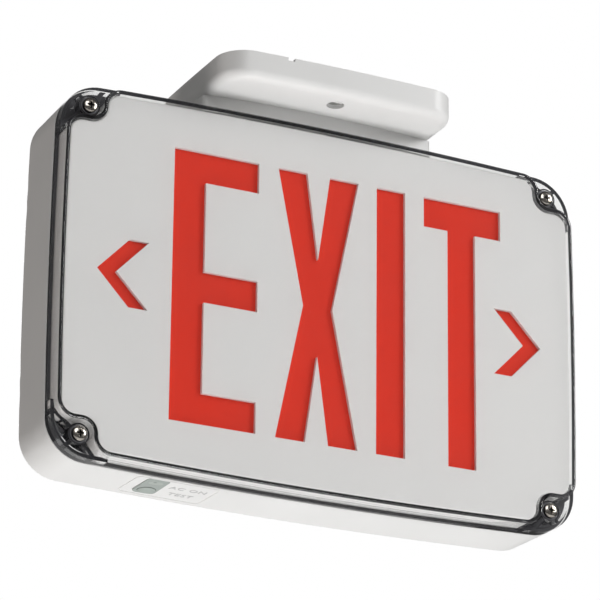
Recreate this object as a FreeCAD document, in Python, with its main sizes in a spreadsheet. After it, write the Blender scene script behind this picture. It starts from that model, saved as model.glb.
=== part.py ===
import FreeCAD, Part
import math
import os

from FreeCAD import Placement, Rotation, Vector

# Emergency exit light, wet-location type: a moulded back box closed by a clear domed cover,
# with a white stencil plate and a red diffuser behind the cover, hung from a ceiling canopy.
#
# Frame: +X to the right as the legend is read, the legend faces -Y, +Z up.  The origin is the
# centre of the crossbar's slot pattern, in the plane of the ceiling.  Pieces of the sign itself
# are drawn in a frame of their own, at the centre of the legend on the stencil's front face,
# and are put in place by one Placement.

SIZES = [
    # canopy, neck and ceiling fixing
    ("canopy_width", 140.0, "canopy, overall width"),
    ("canopy_depth", 100.0, "canopy, overall depth"),
    ("canopy_height", 15.6, "canopy, ceiling to underside"),
    ("canopy_wall", 2.4, "canopy, wall and floor"),
    ("canopy_corner", 17.0, "canopy, corner radius in plan"),
    ("canopy_bow", 2.0, "canopy, bow of front and back in plan"),
    ("canopy_side_bow", 0.6, "canopy, bow of left and right in plan"),
    ("canopy_roll", 5.5, "canopy, radius from side to underside"),
    ("canopy_hole", 4.8, "canopy, radius of the fixing screw's hole"),
    ("canopy_hole_inset", 14.0, "canopy, hole centre from the front side"),
    ("weep_width", 4.0, "canopy rim, weep notch width"),
    ("weep_depth", 1.8, "canopy rim, weep notch depth"),
    ("weep_offset", 33.0, "canopy rim, weep notch from the middle"),
    ("neck_width", 140.0, "neck, width"),
    ("neck_depth", 41.0, "neck, depth"),
    ("neck_height", 8.2, "neck, height"),
    ("neck_bow", 4.5, "neck, bow of front and back in plan"),
    ("neck_corner", 3.0, "neck, corner radius in plan"),
    ("neck_wall", 2.4, "neck, wall and top"),
    ("neck_seal", 0.8, "seal between neck and back box"),
    ("hang_depth", 24.5, "hanging line, behind the stencil's front face"),
    ("thread_play", 0.05, "clearance between a thread and its nut"),
    ("nipple_radius", 5.1, "threaded nipple, outer radius"),
    ("nipple_bore", 3.9, "threaded nipple, wire way radius"),
    ("nipple_reach", 8.0, "threaded nipple, length inside the back box"),
    ("nipple_play", 0.3, "clearance of the holes round the nipple"),
    ("locknut_flats", 16.0, "locknut, width across flats"),
    ("locknut_height", 3.0, "locknut, height"),
    ("crossbar_length", 112.0, "crossbar, length"),
    ("crossbar_width", 22.0, "crossbar, width"),
    ("crossbar_gauge", 1.8, "crossbar, sheet thickness"),
    ("slot_spacing", 88.9, "crossbar, junction box screw spacing"),
    ("slot_length", 12.0, "crossbar, slot end to end"),
    ("slot_radius", 2.4, "crossbar, half of the slot's width"),
    # outline of the sign
    ("sign_half_width", 154.5, "back box and flange, half width at mid height"),
    ("sign_half_height", 105.4, "back box and flange, half height at mid width"),
    ("side_bow", 1.5, "bow of the left and right sides"),
    ("top_bow", 3.2, "bow of the top and bottom"),
    ("sign_corner", 23.0, "corner radius"),
    ("screw_inset_x", 16.5, "cover screws, centre from the side"),
    ("screw_inset_z", 14.4, "cover screws, centre from the top or bottom"),
    # back box
    ("box_depth", 38.5, "back box, rim to back"),
    ("box_draft", 1.0, "back box, draft taper from rim to back"),
    ("box_wall", 2.6, "back box, side wall"),
    ("back_wall", 3.5, "back box, back wall"),
    ("back_round", 3.0, "back box, radius round the back"),
    ("recess_radius", 25.0, "rear corner recess, radius"),
    ("recess_depth", 2.0, "rear corner recess, depth"),
    ("boss_radius", 5.5, "cover screw bosses, radius"),
    ("pilot_radius", 1.6, "cover screw bosses, pilot hole radius"),
    ("pilot_depth", 16.0, "cover screw bosses, pilot hole depth"),
    ("web_gauge", 1.8, "inner ribs and webs, thickness"),
    ("rib_reach", 7.0, "stencil support ribs, reach from the wall"),
    ("rib_place", 50.0, "stencil support ribs, the inner ones from the middle"),
    ("side_rib_place", 35.0, "stencil support ribs at the ends, from the middle"),
    ("knockout_radius", 11.0, "back knockout, radius"),
    ("knockout_groove", 0.8, "back knockout, groove width and depth"),
    # clear cover and its seal
    ("seal_gauge", 0.8, "seal between cover and back box"),
    ("seal_inset", 0.4, "seal, set back from the outline"),
    ("seal_width", 2.2, "seal, width along the sides"),
    ("cover_wall", 2.2, "clear cover, wall"),
    ("cover_air", 1.3, "clear cover, air in front of the stencil"),
    ("cover_side_gap", 0.4, "clear cover, clearance round the stencil"),
    ("cover_height", 11.7, "clear cover, dome height over the flange"),
    ("cover_edge", 1.3, "clear cover, radius of the front edge"),
    ("flange_gauge", 2.2, "clear cover, flange thickness"),
    ("ear_rim", 2.2, "corner pocket, width of the outer rim"),
    ("ear_height", 5.2, "corner pocket, height of rim and webs"),
    ("ear_web", 2.4, "corner pocket, web thickness"),
    ("ear_web_angle", 84.0, "corner pocket, angle between webs"),
    ("screw_boss_radius", 5.9, "corner pocket, screw boss radius"),
    ("screw_boss_height", 6.6, "corner pocket, screw boss height"),
    ("screw_sink", 1.1, "corner pocket, counterbore depth"),
    # stencil plate and diffuser
    ("plate_inset", 4.3, "stencil outline, inside the flange outline"),
    ("plate_gauge", 2.0, "stencil, face thickness"),
    ("plate_wall", 1.8, "stencil, side wall"),
    ("plate_edge", 1.2, "stencil, radius of the front edge"),
    ("scallop", 9.4, "stencil, radius round each cover screw"),
    ("scallop_shoulder", 7.5, "stencil, shoulder radius beside each scallop"),
    ("letter_height", 152.4, "legend, letter height"),
    ("upright", 18.6, "legend, upright stroke"),
    ("crossbeam", 17.3, "legend, horizontal stroke"),
    ("letter_e_left", -89.5, "legend, E, left edge"),
    ("letter_e_width", 49.6, "legend, E, width"),
    ("letter_x_left", -28.5, "legend, X, left edge"),
    ("letter_x_width", 48.4, "legend, X, width"),
    ("letter_x_foot", 17.4, "legend, X, width of each stroke's end"),
    ("letter_i_left", 30.9, "legend, I, left edge"),
    ("letter_i_width", 17.4, "legend, I, width"),
    ("letter_t_left", 59.8, "legend, T, left edge"),
    ("letter_t_width", 47.6, "legend, T, width"),
    ("letter_t_stem_left", 74.4, "legend, T, left edge of the stem"),
    ("letter_t_stem", 17.1, "legend, T, stem"),
    ("arrow_tip", 132.0, "arrows, tip from the middle"),
    ("arrow_shoulder", 113.9, "arrows, outer end from the middle"),
    ("arrow_half_height", 18.9, "arrows, half height"),
    ("arrow_stroke", 11.0, "arrows, stroke measured across"),
    ("diffuser_gauge", 1.5, "red diffuser, thickness"),
    ("diffuser_gap", 0.4, "red diffuser, clearance in the stencil"),
    # light tray
    ("tray_gap", 0.5, "light tray, clearance in the stencil"),
    ("tray_depth", 9.0, "light tray, depth"),
    ("tray_gauge", 1.2, "light tray, wall"),
    ("tray_post_inset", 42.5, "light tray posts and outer ribs, from the outline"),
    ("post_radius", 3.6, "posts, radius"),
    ("post_pilot", 1.1, "posts, pilot hole radius"),
    ("strip_length", 236.0, "lamp strips, length"),
    ("strip_width", 14.0, "lamp strips, width"),
    ("strip_gauge", 1.6, "lamp strips, thickness"),
    ("strip_z", 40.0, "lamp strips, half spacing up"),
    ("lamp_count", 9, "lamps on each strip"),
    ("lamp_side", 4.0, "lamps, side"),
    ("lamp_height", 1.6, "lamps, height"),
    # control board and battery
    ("board_length", 104.0, "control board, length"),
    ("board_width", 62.0, "control board, width"),
    ("board_gauge", 1.6, "control board, thickness"),
    ("board_inset", 34.5, "control board, edge from the right side"),
    ("board_z", -20.0, "control board, middle from the centre"),
    ("board_margin", 5.0, "control board, fixing holes from the edge"),
    ("standoff", 5.0, "control board, height over the back wall"),
    ("core_length", 40.0, "transformer core, length"),
    ("core_width", 14.0, "transformer core, stack"),
    ("core_height", 20.0, "transformer core, height"),
    ("coil_length", 24.0, "transformer coil, length"),
    ("coil_width", 28.0, "transformer coil, width"),
    ("coil_height", 15.0, "transformer coil, height"),
    ("capacitor_radius", 6.5, "capacitors, radius"),
    ("capacitor_height", 19.0, "capacitors, height"),
    ("relay_length", 19.0, "relay, length"),
    ("relay_width", 15.5, "relay, width"),
    ("relay_height", 15.0, "relay, height"),
    ("terminal_length", 30.0, "terminal block, length"),
    ("terminal_width", 9.0, "terminal block, width"),
    ("terminal_height", 10.5, "terminal block, height"),
    ("core_side", -24.0, "transformer, its middle from the board's"),
    ("capacitor_side", 12.0, "capacitors, their middle from the board's"),
    ("capacitor_gap", 1.0, "capacitors, half the space between them"),
    ("capacitor_edge", 0.8, "capacitors, chamfer of the top edge"),
    ("relay_side", 34.0, "relay, its middle from the board's"),
    ("relay_rise", 4.0, "relay, its lower side above the board's middle"),
    ("terminal_side", 26.0, "terminal block, its middle from the board's"),
    ("terminal_inset", 4.0, "terminal block, from the board's lower edge"),
    ("terminal_way", 1.6, "terminal block, wire way radius"),
    ("terminal_pitch", 9.0, "terminal block, wire way spacing"),
    ("terminal_way_depth", 3.0, "terminal block, wire way depth"),
    ("cell_radius", 7.2, "battery cells, radius"),
    ("cell_length", 48.0, "battery cells, length"),
    ("battery_inset", 16.5, "battery, end from the left side"),
    ("battery_z", -36.0, "battery, middle from the centre"),
    ("clip_width", 12.0, "battery clip, width"),
    ("clip_gauge", 1.2, "battery clip, sheet thickness"),
    ("clip_foot", 10.0, "battery clip, length of each foot"),
    ("clip_gap", 0.3, "battery clip, clearance round the cells"),
    ("clip_screw_length", 3.8, "battery clip screw, length under the head"),
    # test switch in the underside
    ("switch_inset", 68.0, "test switch, from the left side"),
    ("button_depth", 20.7, "test button, behind the rim"),
    ("window_depth", 8.5, "indicator window, behind the rim"),
    ("pad_width", 13.0, "switch pad, width"),
    ("pad_length", 24.6, "switch pad, length"),
    ("pad_corner", 3.2, "switch pad, corner radius"),
    ("pad_proud", 0.7, "switch pad, standing out of the underside"),
    ("pad_fit", 0.05, "switch pad, clearance in its hole"),
    ("pad_lip", 1.8, "switch pad, lip inside the back box"),
    ("pad_lip_gauge", 1.2, "switch pad, lip thickness"),
    ("switch_floor", 3.6, "switch boss, thickness"),
    ("switch_wall_margin", 3.6, "switch boss, width round the pad"),
    ("button_radius", 4.7, "test button, radius"),
    ("button_play", 0.3, "test button, clearance in the pad"),
    ("button_proud", 1.3, "test button, standing out of the pad"),
    ("button_crown", 1.0, "test button, height of the crown"),
    ("button_collar", 6.1, "test button, collar radius"),
    ("button_collar_gauge", 1.2, "test button, collar thickness"),
    ("button_stem", 1.8, "test button, stem radius"),
    ("button_travel", 1.5, "test button, travel"),
    ("window_radius", 2.3, "indicator window, end radius"),
    ("window_length", 3.4, "indicator window, straight length"),
    ("switch_lift", 11.0, "switch board, height over the switch boss"),
    ("switch_board_length", 24.0, "switch board, length"),
    ("switch_board_width", 31.0, "switch board, width"),
    ("tact_side", 6.0, "push switch, side"),
    ("tact_height", 3.5, "push switch, body height"),
    ("tact_plunger", 1.6, "push switch, plunger radius"),
    ("tact_reach", 0.8, "push switch, plunger length"),
    ("tact_gap", 0.1, "push switch, gap left at full travel"),
    ("spring_radius", 4.9, "return spring, mean radius"),
    ("spring_wire", 0.5, "return spring, wire diameter"),
    ("spring_turns", 4, "return spring, turns"),
    ("led_radius", 1.5, "indicator lamp, radius"),
    ("led_height", 6.0, "indicator lamp, height"),
    ("frame_width", 47.0, "switch panel outline, width"),
    ("frame_length", 30.0, "switch panel outline, length"),
    ("frame_side", 12.5, "switch panel outline, left of the switch"),
    ("frame_front", 1.6, "switch panel outline, front edge behind the rim"),
    ("frame_line", 0.7, "switch panel outline, line width"),
    ("frame_proud", 0.3, "switch panel outline, height"),
    # screws
    ("cover_screw_head", 4.1, "cover screw, head radius"),
    ("cover_screw_head_height", 2.6, "cover screw, head height"),
    ("cover_screw_shank", 1.5, "cover screw, shank radius"),
    ("cover_screw_grip", 11.0, "cover screw, thread in the boss"),
    ("washer_radius", 4.8, "cover screw seal washer, radius"),
    ("washer_gauge", 0.8, "cover screw seal washer, thickness"),
    ("small_screw_head", 2.6, "board screw, head radius"),
    ("small_screw_head_height", 1.8, "board screw, head height"),
    ("small_screw_shank", 1.0, "board screw, shank radius"),
    ("small_screw_length", 6.0, "board screw, length under the head"),
    ("screw_play", 0.4, "clearance of the holes round a screw"),
]

DOC = FreeCAD.newDocument("ExitLight")
SHEET = DOC.addObject("Spreadsheet::Sheet", "Sizes")
for row, (alias, value, note) in enumerate(SIZES, start=1):
    SHEET.set("A%d" % row, note)
    SHEET.set("B%d" % row, str(value))
    SHEET.setAlias("B%d" % row, alias)
DOC.recompute()


def size(alias):
    """A driving dimension, read back from the sheet."""
    return float(SHEET.get(alias))


# Derived places, all from the sheet.  Depths (y) are in the sign's own frame.
COVER_FRONT = -(size("cover_air") + size("cover_wall"))
FLANGE_FRONT = COVER_FRONT + size("cover_height")
FLANGE_BACK = FLANGE_FRONT + size("flange_gauge")
RIM = FLANGE_BACK + size("seal_gauge")
BACK = RIM + size("box_depth")
BACK_INNER = BACK - size("back_wall")
NECK_TOP = -size("canopy_height")
NECK_FOOT = NECK_TOP - size("neck_height")
BOX_TOP = NECK_FOOT - size("neck_seal")
SIGN = Placement(
    Vector(0, -size("hang_depth"), BOX_TOP - size("sign_half_height")), Rotation())
SCREW_X = size("sign_half_width") - size("screw_inset_x")
SCREW_Z = size("sign_half_height") - size("screw_inset_z")
SCREWS = [(i * SCREW_X, j * SCREW_Z) for i in (-1, 1) for j in (-1, 1)]

PARTS = []


def keep(node, shape, placement=None):
    """A sub-part whose solid is worked out below, as a document object with its own label."""
    feature = DOC.addObject("Part::Feature", node)
    feature.Label = node
    feature.Shape = shape
    if placement is not None:
        feature.Placement = placement
    PARTS.append(feature)
    return feature


# ---------------------------------------------------------------- outlines

def mirrored(items, i, j):
    """The same lines and arcs in another quadrant, run backwards where that turns them round."""
    flipped = [tuple([kind] + [(i * x, j * y) for x, y in points]) for kind, *points in items]
    if i * j < 0:
        flipped = [tuple([kind] + points[::-1]) for kind, *points in reversed(flipped)]
    return flipped


def arc_centres(half_width, half_height, bow_x, bow_y):
    """Radii of the long arcs through the middle of each side, and their centres' distances."""
    flat = (half_width ** 2 + bow_y ** 2) / (2 * bow_y)
    tall = (half_height ** 2 + bow_x ** 2) / (2 * bow_x)
    return flat, half_height - flat, tall, half_width - tall


def along(centre, point, radius):
    """The point at a radius from a centre, in the direction of another point."""
    dx = point[0] - centre[0]
    dy = point[1] - centre[1]
    reach = math.hypot(dx, dy)
    return centre[0] + dx * radius / reach, centre[1] + dy * radius / reach


def ring(corner, half_width, half_height):
    """Join one quadrant's corner with its three mirror images by the four long arcs."""
    corners = [mirrored(corner, 1, 1), mirrored(corner, 1, -1),
               mirrored(corner, -1, -1), mirrored(corner, -1, 1)]
    middles = [(half_width, 0), (0, -half_height), (-half_width, 0), (0, half_height)]
    items = []
    for index, middle in enumerate(middles):
        items += corners[index]
        after = corners[(index + 1) % 4]
        items.append(("arc", corners[index][-1][-1], middle, after[0][1]))
    return items


def bowed(half_width, half_height, bow_x, bow_y, radius, grow=0.0):
    """A rectangle with four bowed sides and round corners, grown all round by an offset."""
    flat, flat_y, tall, tall_x = arc_centres(half_width, half_height, bow_x, bow_y)
    gap_x, gap_y = tall_x, -flat_y
    span = math.hypot(gap_x, gap_y)
    to_flat, to_tall = flat - radius, tall - radius
    foot = (to_flat ** 2 - to_tall ** 2 + span ** 2) / (2 * span)
    rise = math.sqrt(to_flat ** 2 - foot ** 2)
    ux, uy = gap_x / span, gap_y / span
    centre = (ux * foot - uy * rise, flat_y + uy * foot + ux * rise)
    if centre[0] < 0 or centre[1] < 0:
        centre = (ux * foot + uy * rise, flat_y + uy * foot - ux * rise)
    start = along((0, flat_y), centre, flat + grow)
    end = along((tall_x, 0), centre, tall + grow)
    middle = ((start[0] + end[0]) / 2, (start[1] + end[1]) / 2)
    corner = [("arc", start, along(centre, middle, radius + grow), end)]
    return ring(corner, half_width + grow, half_height + grow)


def scalloped(grow=0.0):
    """The stencil's outline: bowed sides, and a scallop with two shoulders round each screw."""
    half_width = size("sign_half_width") - size("plate_inset")
    half_height = size("sign_half_height") - size("plate_inset")
    flat, flat_y, tall, tall_x = arc_centres(
        half_width, half_height, size("side_bow"), size("top_bow"))
    screw_x, screw_z = SCREW_X, SCREW_Z
    hollow = size("scallop") - grow
    shoulder = size("scallop_shoulder") + grow
    edge_x, edge_z = screw_x - hollow, screw_z - hollow
    first = (edge_x - shoulder,
             flat_y + math.sqrt((flat + grow - shoulder) ** 2 - (edge_x - shoulder) ** 2))
    last = (tall_x + math.sqrt((tall + grow - shoulder) ** 2 - (edge_z - shoulder) ** 2),
            edge_z - shoulder)
    start = along((0, flat_y), first, flat + grow)
    end = along((tall_x, 0), last, tall + grow)
    first_mid = ((start[0] + edge_x) / 2, (start[1] + first[1]) / 2)
    last_mid = ((last[0] + end[0]) / 2, (edge_z + end[1]) / 2)
    diagonal = hollow / math.sqrt(2)
    corner = [
        ("arc", start, along(first, first_mid, shoulder), (edge_x, first[1])),
        ("line", (edge_x, first[1]), (edge_x, screw_z)),
        ("arc", (edge_x, screw_z), (screw_x - diagonal, screw_z - diagonal), (screw_x, edge_z)),
        ("line", (screw_x, edge_z), (last[0], edge_z)),
        ("arc", (last[0], edge_z), along(last, last_mid, shoulder), end),
    ]
    return ring(corner, half_width + grow, half_height + grow)


def sign_outline(grow=0.0):
    """The outline that the back box, its seal and the cover's flange share."""
    return bowed(size("sign_half_width"), size("sign_half_height"), size("side_bow"),
                 size("top_bow"), size("sign_corner"), grow)


def wire(items, place):
    """A closed wire of an outline, each of its points put in space by a function."""
    edges = []
    for kind, *points in items:
        where = [place(x, y) for x, y in points]
        if kind == "arc":
            edges.append(Part.Arc(*where).toShape())
        else:
            edges.append(Part.LineSegment(*where).toShape())
    return Part.Wire(edges)


def upright(items, y):
    """An outline in a plane that stands at depth y."""
    return wire(items, lambda x, z: Vector(x, y, z))


def level(items, z, shift=0.0):
    """An outline in a level plane at height z."""
    return wire(items, lambda x, y: Vector(x, y + shift, z))


def slab(outline, start, end):
    """The solid of an upright outline between two depths."""
    return Part.Face(upright(outline, start)).extrude(Vector(0, end - start, 0))


def tapered(front, back, start, end):
    """The solid between two upright outlines at two depths."""
    return Part.makeLoft([upright(front, start), upright(back, end)], True, True)


def layer(outline, top, bottom, shift=0.0):
    """The solid of a level outline between two heights."""
    return Part.Face(level(outline, top, shift)).extrude(Vector(0, 0, bottom - top))


def rod(radius, x, y, z, length, axis=Vector(0, 1, 0)):
    """A cylinder from a point along an axis."""
    return Part.makeCylinder(radius, length, Vector(x, y, z), axis)


def block(x, y, z, width, depth, height):
    """A box centred across X, from depth y backwards and from z upwards."""
    return Part.makeBox(width, depth, height, Vector(x - width / 2, y, z))


def edges_at(shape, axis, value, reach=0.01):
    """The edges of a shape that lie wholly in the plane axis = value."""
    found = []
    for edge in shape.Edges:
        low = getattr(edge.BoundBox, axis + "Min")
        high = getattr(edge.BoundBox, axis + "Max")
        if abs(low - value) < reach and abs(high - value) < reach:
            found.append(edge)
    return found


def rounded_bar(width, length, radius, x, y, z, height):
    """A level bar with round corners, centred on x and y, from z upwards."""
    bar = Part.makeBox(width, length, height, Vector(x - width / 2, y - length / 2, z))
    corners = [e for e in bar.Edges if abs(e.BoundBox.ZLength - height) < 1e-6]
    return bar.makeFillet(radius, corners)


def hexagon(flats, x, y, z, height):
    """A hexagonal prism from z upwards."""
    radius = flats / math.sqrt(3)
    points = [Vector(x + radius * math.cos(math.radians(60 * k)),
                     y + radius * math.sin(math.radians(60 * k)), z) for k in range(7)]
    return Part.Face(Part.makePolygon(points)).extrude(Vector(0, 0, height))


# ---------------------------------------------------------------- part design helpers

def new_body(node, placement=None):
    """A PartDesign body that is one sub-part."""
    body = DOC.addObject("PartDesign::Body", node)
    body.Label = node
    if placement is not None:
        body.Placement = placement
    PARTS.append(body)
    return body


def origin_plane(body, role):
    """One of the body's own origin planes."""
    for feature in body.Origin.OriginFeatures:
        if feature.Role == role:
            return feature
    raise ValueError(role)


def sketch(body, name, role, outlines):
    """A sketch on an origin plane, with each outline's lines and arcs."""
    made = body.newObject("Sketcher::SketchObject", name)
    made.AttachmentSupport = [(origin_plane(body, role), "")]
    made.MapMode = "FlatFace"
    for items in outlines:
        for kind, *points in items:
            where = [Vector(x, y, 0) for x, y in points]
            if kind == "arc":
                made.addGeometry(Part.Arc(*where), False)
            elif kind == "circle":
                radius = points[1][0]
                made.addGeometry(Part.Circle(where[0], Vector(0, 0, 1), radius), False)
            else:
                made.addGeometry(Part.LineSegment(*where), False)
    return made


def polygon(points):
    """A closed outline of straight lines."""
    return [("line", points[k], points[(k + 1) % len(points)]) for k in range(len(points))]


def box_outline(x0, y0, x1, y1):
    """A rectangle between two corners."""
    return polygon([(x0, y0), (x1, y0), (x1, y1), (x0, y1)])


def circle(x, y, radius):
    """A circle, as an outline for a sketch."""
    return [("circle", (x, y), (radius, 0))]


def pad(body, base, name, length, backwards=False):
    """A pad whose length is bound to the sheet."""
    feature = body.newObject("PartDesign::Pad", name)
    feature.Profile = base
    feature.setExpression("Length", length)
    feature.Reversed = backwards
    DOC.recompute()
    return feature


def pocket(body, base, name, length, backwards=False):
    """A pocket whose depth is bound to the sheet, checked to have cut something."""
    before = body.Shape.Volume
    feature = body.newObject("PartDesign::Pocket", name)
    feature.Profile = base
    feature.setExpression("Length", length)
    feature.Reversed = backwards
    DOC.recompute()
    if body.Shape.Volume >= before - 1e-6:
        raise RuntimeError("%s cuts nothing" % name)
    return feature


# ---------------------------------------------------------------- ceiling fixing

def canopy():
    """A shallow pan, open to the ceiling, with soft rolled edges and the fixing screw's hole."""
    width, depth = size("canopy_width") / 2, size("canopy_depth") / 2
    bow, side_bow = size("canopy_bow"), size("canopy_side_bow")
    corner = size("canopy_corner")
    wall, height, roll = size("canopy_wall"), size("canopy_height"), size("canopy_roll")
    outer = layer(bowed(width, depth, side_bow, bow, corner), 0, -height)
    outer = outer.makeFillet(roll, edges_at(outer, "Z", -height))
    inner = layer(bowed(width, depth, side_bow, bow, corner, -wall), 0, wall - height)
    inner = inner.makeFillet(roll - wall, edges_at(inner, "Z", wall - height))
    shell = outer.cut(inner)
    hole = rod(size("canopy_hole"), 0, size("canopy_hole_inset") - depth, -height,
               wall, Vector(0, 0, 1))
    entry = rod(size("nipple_radius") + size("nipple_play"), 0, 0, -height, wall, Vector(0, 0, 1))
    weep = block(-size("weep_offset"), -depth, -size("weep_depth"),
                 size("weep_width"), 2 * wall, size("weep_depth"))
    keep("canopy", shell.cut([hole, entry, weep]))


def neck():
    """The hollow foot between canopy and back box, bowed like the canopy, with a nipple boss."""
    width, depth = size("neck_width") / 2, size("neck_depth") / 2
    bow, wall = size("neck_bow"), size("neck_wall")
    outline = bowed(width, depth, size("side_bow"), bow, size("neck_corner"))
    hollow = bowed(width, depth, size("side_bow"), bow, size("neck_corner"), -wall)
    outer = layer(outline, NECK_TOP, NECK_FOOT)
    inner = layer(hollow, NECK_TOP - wall, NECK_FOOT)
    boss = rod(size("locknut_flats") / 2 + wall, 0, 0, NECK_FOOT, size("neck_height"),
               Vector(0, 0, 1))
    entry = rod(size("nipple_radius") + size("nipple_play"), 0, 0, NECK_FOOT,
                size("neck_height"), Vector(0, 0, 1))
    keep("mounting_neck", outer.cut(inner).fuse(boss).cut(entry).removeSplitter())

    drop = size("neck_seal") + size("top_bow")
    foot = layer(outline, NECK_FOOT, NECK_FOOT - drop)
    bed = Part.makeBox(size("neck_width"), size("box_depth"), drop,
                       Vector(-size("neck_width") / 2, RIM + size("web_gauge"), -drop))
    bed.Placement = Placement(Vector(0, -size("hang_depth"), NECK_FOOT), Rotation())
    under = slab(sign_outline(), FLANGE_FRONT, BACK)
    under.Placement = SIGN
    way = rod(size("nipple_radius") + size("nipple_play"), 0, 0, NECK_FOOT - drop, drop,
              Vector(0, 0, 1))
    keep("neck_seal", foot.common(bed).cut([under, way]))


def crossbar():
    """The steel bar that two junction box screws hold, through one slot each."""
    body = new_body("crossbar")
    half_length, half_width = size("crossbar_length") / 2, size("crossbar_width") / 2
    plan = sketch(body, "crossbar_plan", "XY_Plane",
                  [box_outline(-half_length, -half_width, half_length, half_width)])
    pad(body, plan, "crossbar_sheet", "Sizes.crossbar_gauge", backwards=True)
    radius = size("slot_radius")
    straight = size("slot_length") / 2 - radius
    slots = []
    for side in (-1, 1):
        x = side * size("slot_spacing") / 2
        slots.append([
            ("line", (x - straight, -radius), (x + straight, -radius)),
            ("arc", (x + straight, -radius), (x + straight + radius, 0), (x + straight, radius)),
            ("line", (x + straight, radius), (x - straight, radius)),
            ("arc", (x - straight, radius), (x - straight - radius, 0), (x - straight, -radius)),
        ])
    slots.append(circle(0, 0, size("nipple_radius") + size("nipple_play")))
    holes = sketch(body, "crossbar_holes", "XY_Plane", slots)
    pocket(body, holes, "crossbar_slots", "Sizes.crossbar_gauge")
    body.Tip.Refine = True


def nipple():
    """The hollow threaded nipple that carries the sign, and the nuts that lock it."""
    reach = -(BOX_TOP - size("box_wall")) + size("nipple_reach")
    tube = DOC.addObject("Part::Cylinder", "nipple_tube")
    tube.setExpression("Radius", "Sizes.nipple_radius")
    tube.Height = reach
    tube.Placement = Placement(Vector(0, 0, -reach), Rotation())
    bore = DOC.addObject("Part::Cylinder", "nipple_wire_way")
    bore.setExpression("Radius", "Sizes.nipple_bore")
    bore.Height = reach
    bore.Placement = tube.Placement
    cut = DOC.addObject("Part::Cut", "threaded_nipple")
    cut.Base = tube
    cut.Tool = bore
    cut.Label = "threaded_nipple"
    PARTS.append(cut)

    height = size("locknut_height")
    bottoms = [-size("crossbar_gauge") - height,
               size("canopy_wall") - size("canopy_height"),
               BOX_TOP - size("switch_floor") - height]
    nuts = []
    for bottom in bottoms:
        nut = hexagon(size("locknut_flats"), 0, 0, bottom, height)
        thread = rod(size("nipple_radius") + size("thread_play"), 0, 0, bottom, height,
                     Vector(0, 0, 1))
        nuts.append(nut.cut(thread))
    keep("nipple_locknuts", Part.makeCompound(nuts))


# ---------------------------------------------------------------- back box

def underside(x, depth):
    """Height of the back box's underside at a place, in the sign's own frame."""
    flat, flat_z, _, _ = arc_centres(size("sign_half_width"), size("sign_half_height"),
                                     size("side_bow"), size("top_bow"))
    taper = size("box_draft") * depth / size("box_depth")
    return -(flat_z + math.sqrt(flat ** 2 - x ** 2)) + taper


SWITCH_X = size("switch_inset") - size("sign_half_width")
BOARD_X = size("sign_half_width") - size("board_inset") - size("board_length") / 2
BATTERY_X = size("battery_inset") + 1.5 * size("cell_length") - size("sign_half_width")
RIB_X = size("sign_half_width") - size("tray_post_inset")
SWITCH_SKIN = underside(SWITCH_X, size("button_depth"))
SWITCH_SEAT = SWITCH_SKIN + size("switch_floor")
SWITCH_BOARD = SWITCH_SEAT + size("switch_lift")
BUTTON_Y = RIM + size("button_depth")
WINDOW_Y = RIM + size("window_depth")
PAD_Y = (BUTTON_Y + WINDOW_Y) / 2
SWITCH_POSTS = [SWITCH_X + side * (size("switch_board_width") / 2 - size("post_radius"))
                for side in (-1, 1)]
SWITCH_BACK = BUTTON_Y + size("tact_side")
SWITCH_POST_Y = RIM + size("button_depth") - size("tact_side") / 2
BOARD_HOLES = [(BOARD_X + i * (size("board_length") / 2 - size("board_margin")),
                size("board_z") + j * (size("board_width") / 2 - size("board_margin")))
               for i in (-1, 1) for j in (-1, 1)]
TRAY_POSTS = [(i * RIB_X, j * (size("sign_half_height") - size("tray_post_inset")))
              for i in (-1, 1) for j in (-1, 1)]
CLIP_REACH = size("cell_radius") + size("clip_gap") + size("clip_gauge")
CLIP_MIDDLES = [BATTERY_X + (k - 0.5) * size("cell_length") for k in (0, 1)]
CLIP_HOLES = [(x, size("battery_z") + side * (CLIP_REACH + size("clip_foot") / 2))
              for x in CLIP_MIDDLES for side in (-1, 1)]
TRAY_FRONT = size("plate_gauge") + size("diffuser_gauge")
TRAY_BACK = TRAY_FRONT + size("tray_depth")


def stencil_ribs():
    """Places of the ribs that carry the stencil's side wall: (x, z, across)."""
    places = [(x, side * size("sign_half_height"), False)
              for x in (-RIB_X, -size("rib_place"), size("rib_place"), RIB_X)
              for side in (-1, 1)]
    places += [(side * size("sign_half_width"), z, True)
               for z in (-size("side_rib_place"), size("side_rib_place")) for side in (-1, 1)]
    return places


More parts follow.
